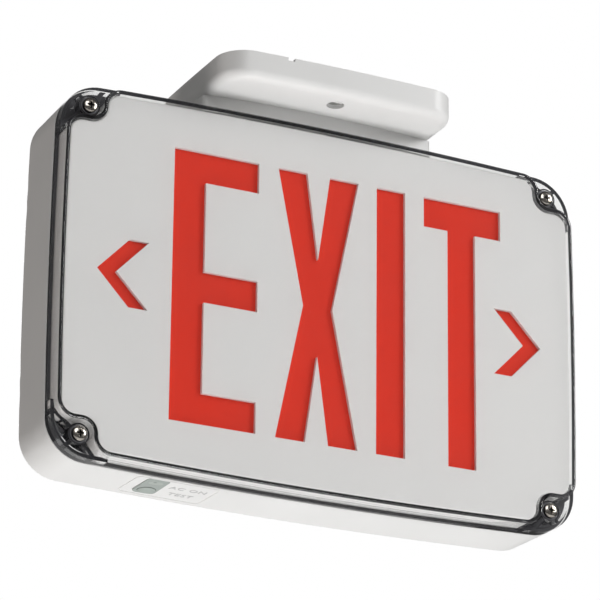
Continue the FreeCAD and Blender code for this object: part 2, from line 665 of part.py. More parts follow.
def housing():
    """The moulded back box: drafted walls, round back, corner recesses, bosses and ribs."""
    draft, wall = size("box_draft"), size("box_wall")
    outer = tapered(sign_outline(), sign_outline(-draft), RIM, BACK)
    outer = outer.makeFillet(size("back_round"), edges_at(outer, "Y", BACK))
    cavity = tapered(sign_outline(-wall), sign_outline(-wall - draft), RIM, BACK_INNER)
    shell = outer.cut(cavity)

    added = []
    for x, z in SCREWS:
        added.append(rod(size("boss_radius"), x, RIM, z, size("box_depth")))
        side_x, side_z = math.copysign(1, x), math.copysign(1, z)
        gauge = size("web_gauge")
        added.append(Part.makeBox(size("sign_half_width") - abs(x), BACK - RIM - gauge, gauge,
                                  Vector(min(x, side_x * size("sign_half_width")),
                                         RIM + gauge, z - gauge / 2)))
        added.append(Part.makeBox(gauge, BACK - RIM - gauge, size("sign_half_height") - abs(z),
                                  Vector(x - gauge / 2, RIM + gauge,
                                         min(z, side_z * size("sign_half_height")))))
    reach = size("rib_reach") + wall
    for x, z, across in stencil_ribs():
        width, height = (reach, size("web_gauge")) if across else (size("web_gauge"), 2 * reach)
        low_x = x - width / 2 if not across else min(x, x - math.copysign(reach, x))
        low_z = z - height / 2
        added.append(Part.makeBox(width, size("box_depth"), height, Vector(low_x, RIM, low_z)))
    for x, z in TRAY_POSTS:
        added.append(rod(size("post_radius"), x, TRAY_BACK, z, BACK - TRAY_BACK))
    for x, z in BOARD_HOLES:
        added.append(rod(size("post_radius"), x, BACK_INNER - size("standoff"), z,
                         size("standoff") + size("back_wall")))
    margin = size("switch_wall_margin")
    added.append(block(SWITCH_X, PAD_Y - size("pad_length") / 2 - margin,
                       -size("sign_half_height"), size("pad_width") + 2 * margin,
                       size("pad_length") + 2 * margin,
                       SWITCH_SEAT + size("sign_half_height")))
    for x in SWITCH_POSTS:
        added.append(rod(size("post_radius"), x, SWITCH_POST_Y, -size("sign_half_height"),
                         SWITCH_BOARD + size("sign_half_height"), Vector(0, 0, 1)))
    nut_seat = size("locknut_flats") + 2 * wall
    added.append(block(0, size("hang_depth") - nut_seat / 2,
                       size("sign_half_height") - size("switch_floor"), nut_seat, nut_seat,
                       size("switch_floor")))
    body = shell.fuse([piece.common(outer) for piece in added])

    skin = tapered(sign_outline(size("frame_proud")),
                   sign_outline(size("frame_proud") - draft), RIM, BACK)
    line = size("frame_line")
    left, front = SWITCH_X - size("frame_side"), RIM + size("frame_front")
    width, length = size("frame_width"), size("frame_length")
    rim = rounded_bar(width, length, size("pad_corner"), left + width / 2, front + length / 2,
                      -size("sign_half_height") - 1, size("switch_floor"))
    window = rounded_bar(width - 2 * line, length - 2 * line, size("pad_corner") - line,
                         left + width / 2, front + length / 2,
                         -size("sign_half_height") - 1, size("switch_floor"))
    body = body.fuse(rim.cut(window).common(skin).cut(cavity))

    cuts = []
    for x, z in SCREWS:
        cuts.append(rod(size("pilot_radius"), x, RIM, z, size("pilot_depth")))
        cuts.append(rod(size("recess_radius"), x, BACK - size("recess_depth"), z,
                        size("recess_depth")))
    for x, z in CLIP_HOLES:
        cuts.append(rod(size("post_pilot"), x, BACK_INNER, z,
                        size("clip_screw_length") - size("clip_gauge")))
    for x, z in TRAY_POSTS:
        cuts.append(rod(size("post_pilot"), x, TRAY_BACK, z, size("small_screw_length")))
    for x, z in BOARD_HOLES:
        cuts.append(rod(size("post_pilot"), x, BACK_INNER - size("standoff"), z,
                        size("standoff")))
    for x in SWITCH_POSTS:
        cuts.append(rod(size("post_pilot"), x, SWITCH_POST_Y,
                        SWITCH_BOARD - size("small_screw_length"),
                        size("small_screw_length"), Vector(0, 0, 1)))
    cuts.append(rounded_bar(size("pad_width"), size("pad_length"), size("pad_corner"),
                            SWITCH_X, PAD_Y, -size("sign_half_height") - 1,
                            2 * size("switch_floor") + wall))
    cuts.append(rod(size("nipple_radius") + size("nipple_play"), 0, size("hang_depth"),
                    size("sign_half_height") - size("switch_floor") - 1,
                    size("switch_floor") + 2, Vector(0, 0, 1)))
    groove = size("knockout_groove")
    knockout = rod(size("knockout_radius"), 0, BACK - groove, 0, groove)
    cuts.append(knockout.cut(rod(size("knockout_radius") - groove, 0, BACK - groove, 0, groove)))
    keep("housing", body.cut(cuts).removeSplitter(), SIGN)


def housing_seal():
    """The rubber seal under the cover's flange, with a pad round each cover screw."""
    inset, width = size("seal_inset"), size("seal_width")
    outer = slab(sign_outline(-inset), FLANGE_BACK, RIM)
    inner = slab(sign_outline(-inset - width), FLANGE_BACK, RIM)
    window = inner.common(slab(scalloped(size("cover_side_gap")), FLANGE_BACK, RIM))
    holes = [rod(size("cover_screw_shank") + size("screw_play"), x, FLANGE_BACK, z,
                 size("seal_gauge")) for x, z in SCREWS]
    keep("housing_seal", outer.cut([window] + holes), SIGN)


# ---------------------------------------------------------------- clear cover

def clear_cover():
    """The clear dome with its flange, and a webbed pocket round each cover screw."""
    gap, wall = size("cover_side_gap"), size("cover_wall")
    dome = slab(scalloped(gap + wall), COVER_FRONT, FLANGE_FRONT)
    dome = dome.makeFillet(size("cover_edge"), edges_at(dome, "Y", COVER_FRONT))
    hollow = slab(scalloped(gap), COVER_FRONT + wall, FLANGE_BACK)
    flange = slab(sign_outline(), FLANGE_FRONT, FLANGE_BACK)

    top = FLANGE_FRONT - size("ear_height")
    pocket_zone = slab(sign_outline(), top, FLANGE_FRONT)
    inside = slab(sign_outline(-size("ear_rim")), top, FLANGE_FRONT)
    rim = pocket_zone.cut(inside)
    pieces = []
    for x, z in SCREWS:
        side_x, side_z = math.copysign(1, x), math.copysign(1, z)
        reach = size("scallop") + size("scallop_shoulder")
        corner = Part.makeBox(
            size("sign_half_width") - abs(x) + reach, size("ear_height"),
            size("sign_half_height") - abs(z) + reach,
            Vector(min(x - side_x * reach, side_x * size("sign_half_width")), top,
                   min(z - side_z * reach, side_z * size("sign_half_height"))))
        pieces.append(rim.common(corner))
        outward = math.degrees(math.atan2(side_z, side_x))
        for turn in (-1, 0, 1):
            web = Part.makeBox(size("recess_radius"), size("ear_height"), size("ear_web"),
                               Vector(0, 0, -size("ear_web") / 2))
            web.Placement = Placement(
                Vector(x, top, z),
                Rotation(Vector(0, -1, 0), outward + turn * size("ear_web_angle")))
            pieces.append(web.common(pocket_zone))
        pieces.append(rod(size("screw_boss_radius"), x, FLANGE_FRONT - size("screw_boss_height"),
                          z, size("screw_boss_height") + size("flange_gauge")))
    solid = dome.fuse([flange] + pieces).cut(hollow)
    drill = []
    sink = size("washer_radius") + size("nipple_play")
    for x, z in SCREWS:
        drill.append(rod(size("cover_screw_shank") + size("screw_play"), x, COVER_FRONT, z,
                         FLANGE_BACK - COVER_FRONT))
        drill.append(rod(sink, x, COVER_FRONT, z,
                         FLANGE_FRONT - size("screw_boss_height") + size("screw_sink")
                         - COVER_FRONT))
    keep("clear_cover", solid.cut(drill).removeSplitter(), SIGN)


# ---------------------------------------------------------------- stencil, diffuser, tray

def legend():
    """Outlines of the four letters and the two arrows that are cut through the stencil."""
    top, bottom = size("letter_height") / 2, -size("letter_height") / 2
    beam, stem = size("crossbeam"), size("upright")
    left = size("letter_e_left")
    right = left + size("letter_e_width")
    letter_e = [(left, bottom), (right, bottom), (right, bottom + beam),
                (left + stem, bottom + beam), (left + stem, -beam / 2),
                (right, -beam / 2), (right, beam / 2),
                (left + stem, beam / 2), (left + stem, top - beam), (right, top - beam),
                (right, top), (left, top)]
    left = size("letter_x_left")
    right = left + size("letter_x_width")
    foot, middle = size("letter_x_foot"), left + size("letter_x_width") / 2
    gap = (right - left) / 2 - foot
    waist = gap + foot * gap / (gap + foot)
    crotch = top * gap / (gap + foot / 2 + waist / 2)
    letter_x = [(left, bottom), (left + foot, bottom), (middle, -(top - crotch * 2)),
                (right - foot, bottom), (right, bottom), (middle + foot / 2, 0), (right, top),
                (right - foot, top), (middle, top - crotch * 2), (left + foot, top), (left, top),
                (middle - foot / 2, 0)]
    left = size("letter_i_left")
    letter_i = [(left, bottom), (left + size("letter_i_width"), bottom),
                (left + size("letter_i_width"), top), (left, top)]
    left = size("letter_t_left")
    right = left + size("letter_t_width")
    stem_left = size("letter_t_stem_left")
    stem_right = stem_left + size("letter_t_stem")
    letter_t = [(stem_left, bottom), (stem_right, bottom), (stem_right, top - beam),
                (right, top - beam), (right, top), (left, top), (left, top - beam),
                (stem_left, top - beam)]
    tip, shoulder = size("arrow_tip"), size("arrow_shoulder")
    half, stroke = size("arrow_half_height"), size("arrow_stroke")
    arrow = [(shoulder, -half), (tip, 0), (shoulder, half), (shoulder - stroke, half),
             (tip - stroke, 0), (shoulder - stroke, -half)]
    outlines = [letter_e, letter_x, letter_i, letter_t, arrow, [(-x, z) for x, z in arrow]]
    return [polygon(points) for points in outlines]


def face_plate():
    """The white stencil: a shallow scalloped tray with the legend cut through its face."""
    body = new_body("face_plate", SIGN * Placement(Vector(0, RIM, 0), Rotation()))
    depth = "Sizes.%s" % " + Sizes.".join(["cover_height", "flange_gauge", "seal_gauge"])
    depth += " - Sizes.cover_air - Sizes.cover_wall"
    outline = sketch(body, "plate_outline", "XZ_Plane", [scalloped()])
    block_pad = pad(body, outline, "plate_block", depth)
    front = edges_at(block_pad.Shape, "Y", -RIM)
    names = ["Edge%d" % (k + 1) for k, item in enumerate(block_pad.Shape.Edges)
             if any(item.isSame(other) for other in front)]
    if len(names) == 0:
        raise RuntimeError("the stencil's front edge is missing")
    edge = body.newObject("PartDesign::Fillet", "plate_edge_round")
    edge.Base = (block_pad, names)
    edge.setExpression("Radius", "Sizes.plate_edge")
    DOC.recompute()
    inner = sketch(body, "plate_inside", "XZ_Plane", [scalloped(-size("plate_wall"))])
    pocket(body, inner, "plate_hollow", depth + " - Sizes.plate_gauge", backwards=True)
    cut = sketch(body, "plate_legend", "XZ_Plane", legend())
    pocket(body, cut, "plate_openings", depth, backwards=True)


def diffuser():
    """The flat red diffuser behind the stencil's openings."""
    body = new_body("red_diffuser", SIGN * Placement(
        Vector(0, size("plate_gauge") + size("diffuser_gauge"), 0), Rotation()))
    outline = sketch(body, "diffuser_outline", "XZ_Plane",
                     [scalloped(-size("plate_wall") - size("diffuser_gap"))])
    pad(body, outline, "diffuser_sheet", "Sizes.diffuser_gauge")


def light_tray():
    """The white tray that closes the light chamber behind the diffuser."""
    grow = -size("plate_wall") - size("tray_gap")
    outer = slab(scalloped(grow), TRAY_FRONT, TRAY_BACK)
    inner = slab(scalloped(grow - size("tray_gauge")), TRAY_FRONT, TRAY_BACK - size("tray_gauge"))
    holes = [rod(size("small_screw_shank") + size("screw_play"), x, TRAY_FRONT, z,
                 size("tray_depth")) for x, z in TRAY_POSTS]
    slots = []
    for x, z, across in stencil_ribs():
        span = 2 * size("rib_reach") + 2 * size("box_wall") + 1
        slots.append(Part.makeBox(
            span if across else size("web_gauge") + 1, TRAY_BACK - RIM + 1,
            size("web_gauge") + 1 if across else span,
            Vector(x - (span if across else size("web_gauge") + 1) / 2, RIM - 1,
                   z - (size("web_gauge") + 1 if across else span) / 2)))
    for x, z in SCREWS:
        slots.append(rod(size("boss_radius") + 1, x, RIM - 1, z, TRAY_BACK - RIM + 1))
    keep("light_tray", outer.cut(inner).cut(holes).cut(slots), SIGN)


def lamp_strips():
    """Two lamp strips on the tray, and their lamps."""
    front = TRAY_BACK - size("tray_gauge") - size("strip_gauge")
    strips, lamps = [], []
    count = int(size("lamp_count"))
    pitch = size("strip_length") / count
    for side in (-1, 1):
        z = side * size("strip_z") - size("strip_width") / 2
        strips.append(block(0, front, z, size("strip_length"), size("strip_gauge"),
                            size("strip_width")))
        for k in range(count):
            x = (k - (count - 1) / 2) * pitch
            lamps.append(block(x, front - size("lamp_height"),
                               side * size("strip_z") - size("lamp_side") / 2,
                               size("lamp_side"), size("lamp_height"), size("lamp_side")))
    keep("lamp_strips", Part.makeCompound(strips), SIGN)
    keep("lamps", Part.makeCompound(lamps), SIGN)


# ---------------------------------------------------------------- control gear

def control_board():
    """The control board on its four posts."""
    body = new_body("control_board", SIGN * Placement(
        Vector(BOARD_X, BACK_INNER - size("standoff"), size("board_z")), Rotation()))
    half_length, half_width = size("board_length") / 2, size("board_width") / 2
    outline = sketch(body, "board_outline", "XZ_Plane",
                     [box_outline(-half_length, -half_width, half_length, half_width)])
    pad(body, outline, "board_sheet", "Sizes.board_gauge")
    inset = size("board_margin")
    radius = size("small_screw_shank") + size("screw_play")
    holes = sketch(body, "board_holes", "XZ_Plane",
                   [circle(i * (half_length - inset), j * (half_width - inset), radius)
                    for i in (-1, 1) for j in (-1, 1)])
    pocket(body, holes, "board_fixings", "Sizes.board_gauge", backwards=True)


def board_parts():
    """The transformer, capacitors, relay and terminal block that stand on the board."""
    front = BACK_INNER - size("standoff") - size("board_gauge")
    x, z = BOARD_X, size("board_z")
    core = block(x + size("core_side"), front - size("core_height"), z - size("core_width") / 2,
                 size("core_length"), size("core_height"), size("core_width"))
    coil = block(x + size("core_side"), front - (size("core_height") + size("coil_height")) / 2,
                 z - size("coil_width") / 2, size("coil_length"), size("coil_height"),
                 size("coil_width"))
    keep("transformer", core.fuse(coil).removeSplitter(), SIGN)
    cans = []
    for side in (-1, 1):
        can = rod(size("capacitor_radius"), x + size("capacitor_side"),
                  front - size("capacitor_height"),
                  z + side * (size("capacitor_radius") + size("capacitor_gap")),
                  size("capacitor_height"))
        top_edge = edges_at(can, "Y", front - size("capacitor_height"))
        cans.append(can.makeChamfer(size("capacitor_edge"), top_edge))
    keep("capacitors", Part.makeCompound(cans), SIGN)
    relay = block(x + size("relay_side"), front - size("relay_height"), z + size("relay_rise"),
                  size("relay_length"), size("relay_height"), size("relay_width"))
    keep("relay", relay, SIGN)
    terminal_x = x + size("terminal_side")
    terminal_z = z - size("board_width") / 2 + size("terminal_inset")
    terminal = block(terminal_x, front - size("terminal_height"), terminal_z,
                     size("terminal_length"), size("terminal_height"), size("terminal_width"))
    ways = [rod(size("terminal_way"), terminal_x + side * size("terminal_pitch"),
                front - size("terminal_height"), terminal_z + size("terminal_width") / 2,
                size("terminal_way_depth"))
            for side in (-1, 0, 1)]
    keep("terminal_block", terminal.cut(ways), SIGN)


def battery():
    """The sealed stick of cells and the two sheet clips that hold it to the back wall."""
    radius, length = size("cell_radius"), size("cell_length")
    y = BACK_INNER - radius - size("clip_gap")
    x, z = BATTERY_X, size("battery_z")
    profile = [Vector(0, 0, 0), Vector(0, radius - 1, 0), Vector(1, radius, 0),
               Vector(length - 1, radius, 0), Vector(length, radius - 1, 0), Vector(length, 0, 0),
               Vector(0, 0, 0)]
    cell = Part.Face(Part.makePolygon(profile)).revolve(Vector(), Vector(1, 0, 0), 360)
    stick = []
    for k in (-1.5, -0.5, 0.5):
        copy = cell.copy()
        copy.Placement = Placement(Vector(x + k * length, y, z), Rotation())
        stick.append(copy)
    keep("battery_pack", stick[0].fuse(stick[1:]).removeSplitter(), SIGN)

    inner, outer = radius + size("clip_gap"), CLIP_REACH
    foot = outer + size("clip_foot")
    width, gauge = size("clip_width"), size("clip_gauge")
    clips = []
    for middle in CLIP_MIDDLES:
        low = middle - width / 2
        arch = rod(outer, low, y, z, width, Vector(1, 0, 0)).common(
            Part.makeBox(width, outer, 2 * outer, Vector(low, y - outer, z - outer)))
        legs = Part.makeBox(width, BACK_INNER - y, 2 * outer, Vector(low, y, z - outer))
        feet = Part.makeBox(width, gauge, 2 * foot, Vector(low, BACK_INNER - gauge, z - foot))
        way = rod(inner, low, y, z, width, Vector(1, 0, 0))
        space = Part.makeBox(width, BACK_INNER - y, 2 * inner, Vector(low, y, z - inner))
        clip = arch.fuse([legs, feet]).cut([way, space])
        for x_hole, z_hole in CLIP_HOLES:
            clip = clip.cut(rod(size("small_screw_shank") + size("screw_play"), x_hole,
                                BACK_INNER - gauge, z_hole, gauge))
        clips.append(clip.removeSplitter())
    keep("battery_clips", Part.makeCompound(clips), SIGN)


# ---------------------------------------------------------------- test switch

def switch_pad():
    """The rubber pad let into the underside, with the button's hole and the window's slot."""
    x, lip = SWITCH_X, size("pad_lip")
    bottom = SWITCH_SKIN - size("pad_proud")
    fit = size("pad_fit")
    plug = rounded_bar(size("pad_width") - 2 * fit, size("pad_length") - 2 * fit,
                       size("pad_corner") - fit, x, PAD_Y, bottom, SWITCH_SEAT - bottom)
    flange = rounded_bar(size("pad_width") + 2 * lip, size("pad_length") + 2 * lip,
                         size("pad_corner") + lip, x, PAD_Y, SWITCH_SEAT, size("pad_lip_gauge"))
    plug = plug.makeFillet(size("pad_proud") * 0.6, edges_at(plug, "Z", bottom))
    height = SWITCH_SEAT + size("pad_lip_gauge") - bottom
    hole = rod(size("button_radius") + size("button_play"), x, BUTTON_Y, bottom, height,
               Vector(0, 0, 1))
    keep("switch_pad", plug.fuse(flange).cut([hole, window_bar(bottom, height)]).removeSplitter(),
         SIGN)


def window_bar(bottom, height):
    """The oval bar of the indicator window."""
    radius = size("window_radius")
    return rounded_bar(2 * radius + size("window_length"), 2 * radius, radius * 0.98,
                       SWITCH_X, WINDOW_Y, bottom, height)


def indicator_window():
    """The small window over the indicator lamp, flush with the pad."""
    bottom = SWITCH_SKIN - size("pad_proud")
    keep("indicator_window",
         window_bar(bottom, SWITCH_SEAT + size("pad_lip_gauge") - bottom), SIGN)


def test_button():
    """The button: crowned face, collar inside the pad and a stem towards the push switch."""
    body = new_body("test_button", SIGN * Placement(
        Vector(SWITCH_X, BUTTON_Y, SWITCH_SEAT + size("pad_lip_gauge")), Rotation()))
    radius, crown = size("button_radius"), size("button_crown")
    face = -(size("pad_lip_gauge") + size("switch_floor") + size("pad_proud")
             + size("button_proud"))
    collar, gauge = size("button_collar"), size("button_collar_gauge")
    stem = size("button_stem")
    top = size("switch_lift") - size("pad_lip_gauge") - size("tact_height") - size("tact_reach") \
        - size("tact_gap") - size("button_travel")
    sphere = (radius ** 2 + crown ** 2) / (2 * crown)
    half = math.asin(radius / sphere) / 2
    profile = [
        ("arc", (0, face), (sphere * math.sin(half), face + sphere * (1 - math.cos(half))),
         (radius, face + crown)),
        ("line", (radius, face + crown), (radius, 0)),
        ("line", (radius, 0), (collar, 0)),
        ("line", (collar, 0), (collar, gauge)),
        ("line", (collar, gauge), (stem, gauge)),
        ("line", (stem, gauge), (stem, top)),
        ("line", (stem, top), (0, top)),
        ("line", (0, top), (0, face)),
    ]
    outline = sketch(body, "button_profile", "XZ_Plane", [profile])
    turn = body.newObject("PartDesign::Revolution", "button_turn")
    turn.Profile = outline
    turn.ReferenceAxis = (outline, ["V_Axis"])
    turn.Angle = 360
    DOC.recompute()


def switch_board():
    """The small board over the pad, with the push switch, the indicator lamp and the spring."""
    x = SWITCH_X
    plate = Part.makeBox(size("switch_board_width"), size("switch_board_length"),
                         size("board_gauge"),
                         Vector(x - size("switch_board_width") / 2,
                                SWITCH_BACK - size("switch_board_length"), SWITCH_BOARD))
    radius = size("small_screw_shank") + size("screw_play")
    holes = [rod(radius, spot, SWITCH_POST_Y, SWITCH_BOARD, size("board_gauge"), Vector(0, 0, 1))
             for spot in SWITCH_POSTS]
    keep("switch_board", plate.cut(holes), SIGN)

    side, height = size("tact_side"), size("tact_height")
    body = Part.makeBox(side, side, height,
                        Vector(x - side / 2, BUTTON_Y - side / 2, SWITCH_BOARD - height))
    plunger = rod(size("tact_plunger"), x, BUTTON_Y, SWITCH_BOARD - height - size("tact_reach"),
                  size("tact_reach"), Vector(0, 0, 1))
    keep("push_switch", body.fuse(plunger).removeSplitter(), SIGN)

    lamp = rod(size("led_radius"), x, WINDOW_Y, SWITCH_BOARD - size("led_height"),
               size("led_height"), Vector(0, 0, 1))
    lamp = lamp.makeFillet(size("led_radius") * 0.9,
                           edges_at(lamp, "Z", SWITCH_BOARD - size("led_height")))
    keep("indicator_lamp", lamp, SIGN)

    wire_radius = size("spring_wire") / 2
    bottom = SWITCH_SEAT + size("pad_lip_gauge") + size("button_collar_gauge") + wire_radius
    length = SWITCH_BOARD - wire_radius - bottom
    helix = Part.makeHelix(length / size("spring_turns"), length, size("spring_radius"))
    corners = [Vector(size("spring_radius") + wire_radius * math.cos(math.radians(45 * k)), 0,
                      wire_radius * math.sin(math.radians(45 * k))) for k in range(9)]
    section = Part.makePolygon(corners)
    spring = Part.Wire(helix.Edges).makePipeShell([section], True, True)
    spring.Placement = Placement(Vector(x, BUTTON_Y, bottom), Rotation())
    keep("button_spring", spring.copy(), SIGN * spring.Placement)


# ---------------------------------------------------------------- screws

def pan_screw(head, height, shank, length):
    """A cross-recessed pan-head screw: head towards -Y, its seat at the origin."""
    dome = height * 0.45
    profile = [Vector(0, -height, 0), Vector(head * 0.62, -height, 0), Vector(head, -dome, 0),
               Vector(head, 0, 0), Vector(shank, 0, 0), Vector(shank, length - shank, 0),
               Vector(0, length, 0), Vector(0, -height, 0)]
    turned = Part.Face(Part.makePolygon(profile)).revolve(Vector(), Vector(0, 1, 0), 360)
    slot, depth = head * 0.26, height * 0.62
    across = Part.makeBox(head * 1.16, depth, slot, Vector(-head * 0.58, -height, -slot / 2))
    up = Part.makeBox(slot, depth, head * 1.16, Vector(-slot / 2, -height, -head * 0.58))
    return turned.cut([across, up])


def placed(shape, x, y, z, rotation=None):
    """A copy of a shape at a place."""
    copy = shape.copy()
    copy.Placement = Placement(Vector(x, y, z), rotation or Rotation())
    return copy


def fasteners():
    """Cover screws with their seal washers, and the small screws inside."""
    seat = FLANGE_FRONT - size("screw_boss_height") + size("screw_sink")
    gauge = size("washer_gauge")
    shank = size("cover_screw_shank")
    length = RIM - seat + gauge + size("cover_screw_grip")
    screw = pan_screw(size("cover_screw_head"), size("cover_screw_head_height"), shank, length)
    keep("cover_screws", Part.makeCompound([placed(screw, x, seat - gauge, z)
                                            for x, z in SCREWS]), SIGN)
    washer = rod(size("washer_radius"), 0, 0, 0, gauge).cut(
        rod(shank + size("screw_play") / 4, 0, 0, 0, gauge))
    keep("screw_seals", Part.makeCompound([placed(washer, x, seat - gauge, z)
                                           for x, z in SCREWS]), SIGN)

    small = pan_screw(size("small_screw_head"), size("small_screw_head_height"),
                      size("small_screw_shank"), size("small_screw_length"))
    keep("tray_screws", Part.makeCompound(
        [placed(small, x, TRAY_BACK - size("tray_gauge"), z) for x, z in TRAY_POSTS]), SIGN)
    front = BACK_INNER - size("standoff") - size("board_gauge")
    keep("board_screws", Part.makeCompound(
        [placed(small, x, front, z) for x, z in BOARD_HOLES]), SIGN)
    short = pan_screw(size("small_screw_head"), size("small_screw_head_height"),
                      size("small_screw_shank"), size("clip_screw_length") - 0.4)
    keep("clip_screws", Part.makeCompound(
        [placed(short, x, BACK_INNER - size("clip_gauge"), z) for x, z in CLIP_HOLES]), SIGN)
    down = Rotation(Vector(1, 0, 0), -90)
    keep("switch_board_screws", Part.makeCompound(
        [placed(small, x, SWITCH_POST_Y, SWITCH_BOARD + size("board_gauge"), down)
         for x in SWITCH_POSTS]), SIGN)


# ---------------------------------------------------------------- build, check, write

canopy()
neck()
crossbar()
nipple()
housing()
housing_seal()
clear_cover()
face_plate()
diffuser()
light_tray()
lamp_strips()
control_board()
board_parts()
battery()
switch_pad()
indicator_window()
test_button()
switch_board()
fasteners()
DOC.recompute()

for item in DOC.Objects:
    if "Invalid" in item.State or "Error" in item.State:
        raise RuntimeError("%s failed: %s" % (item.Label, item.State))
os.makedirs("parts", exist_ok=True)
for item in PARTS:
    shape = item.Shape
    if shape.isNull() or not shape.isValid() or len(shape.Solids) == 0:
        raise RuntimeError("%s is not a valid solid" % item.Label)
for item in PARTS:
    item.Shape.exportStep("parts/%s.step" % item.Label)
    box = item.Shape.BoundBox
    print("%-20s solids %2d  volume %9.1f  x %7.1f %7.1f  y %7.1f %7.1f  z %7.1f %7.1f" % (
        item.Label, len(item.Shape.Solids), item.Shape.Volume, box.XMin, box.XMax,
        box.YMin, box.YMax, box.ZMin, box.ZMax))
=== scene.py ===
"""Looks of a ceiling-hung emergency exit light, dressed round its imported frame.

Lengths are in metres in the row's frame: +X to the right as the legend is read, the legend faces
-Y, +Z up, and the origin is in the plane of the ceiling.
"""
import logging
import math
from dataclasses import dataclass, field, replace
from enum import Enum

import bmesh
import bpy
import numpy as np
from mathutils import Matrix, Vector


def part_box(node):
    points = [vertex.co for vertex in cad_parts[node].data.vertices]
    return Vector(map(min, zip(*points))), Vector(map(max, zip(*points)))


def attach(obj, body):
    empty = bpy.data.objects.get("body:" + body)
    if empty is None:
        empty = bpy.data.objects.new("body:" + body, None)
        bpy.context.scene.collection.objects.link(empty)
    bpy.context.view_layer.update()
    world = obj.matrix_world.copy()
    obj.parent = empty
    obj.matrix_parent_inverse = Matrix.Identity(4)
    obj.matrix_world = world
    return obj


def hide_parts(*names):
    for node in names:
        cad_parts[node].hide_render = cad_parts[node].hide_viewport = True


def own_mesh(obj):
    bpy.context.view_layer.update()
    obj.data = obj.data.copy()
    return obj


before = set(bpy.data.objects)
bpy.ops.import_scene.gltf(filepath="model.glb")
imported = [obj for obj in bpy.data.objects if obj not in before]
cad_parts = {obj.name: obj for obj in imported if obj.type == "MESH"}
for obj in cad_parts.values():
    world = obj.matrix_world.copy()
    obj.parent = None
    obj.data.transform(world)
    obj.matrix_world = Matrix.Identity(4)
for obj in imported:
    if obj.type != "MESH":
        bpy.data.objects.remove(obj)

LOG = logging.getLogger("exit_light")
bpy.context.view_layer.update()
Colour = tuple[float, float, float]
Place = tuple[float, float, float]
WHITE: Colour = (1.0, 1.0, 1.0)
# Painted shade for the bottom of a recess.
RECESS_SHADE_BLACK: Colour = (0.015, 0.014, 0.013)
NOISE_RANGE = (0.3, 0.7)
MERGE_WITHIN = 2e-6
SLIVER_UNDER = 1e-7
LEAST_LENGTH = 1e-20


class Body(Enum):
    """The two bodies of the sign that move against each other."""

    SIGN = "sign"
    BUTTON = "button"


# ------------------------------------------------------------------ node graphs


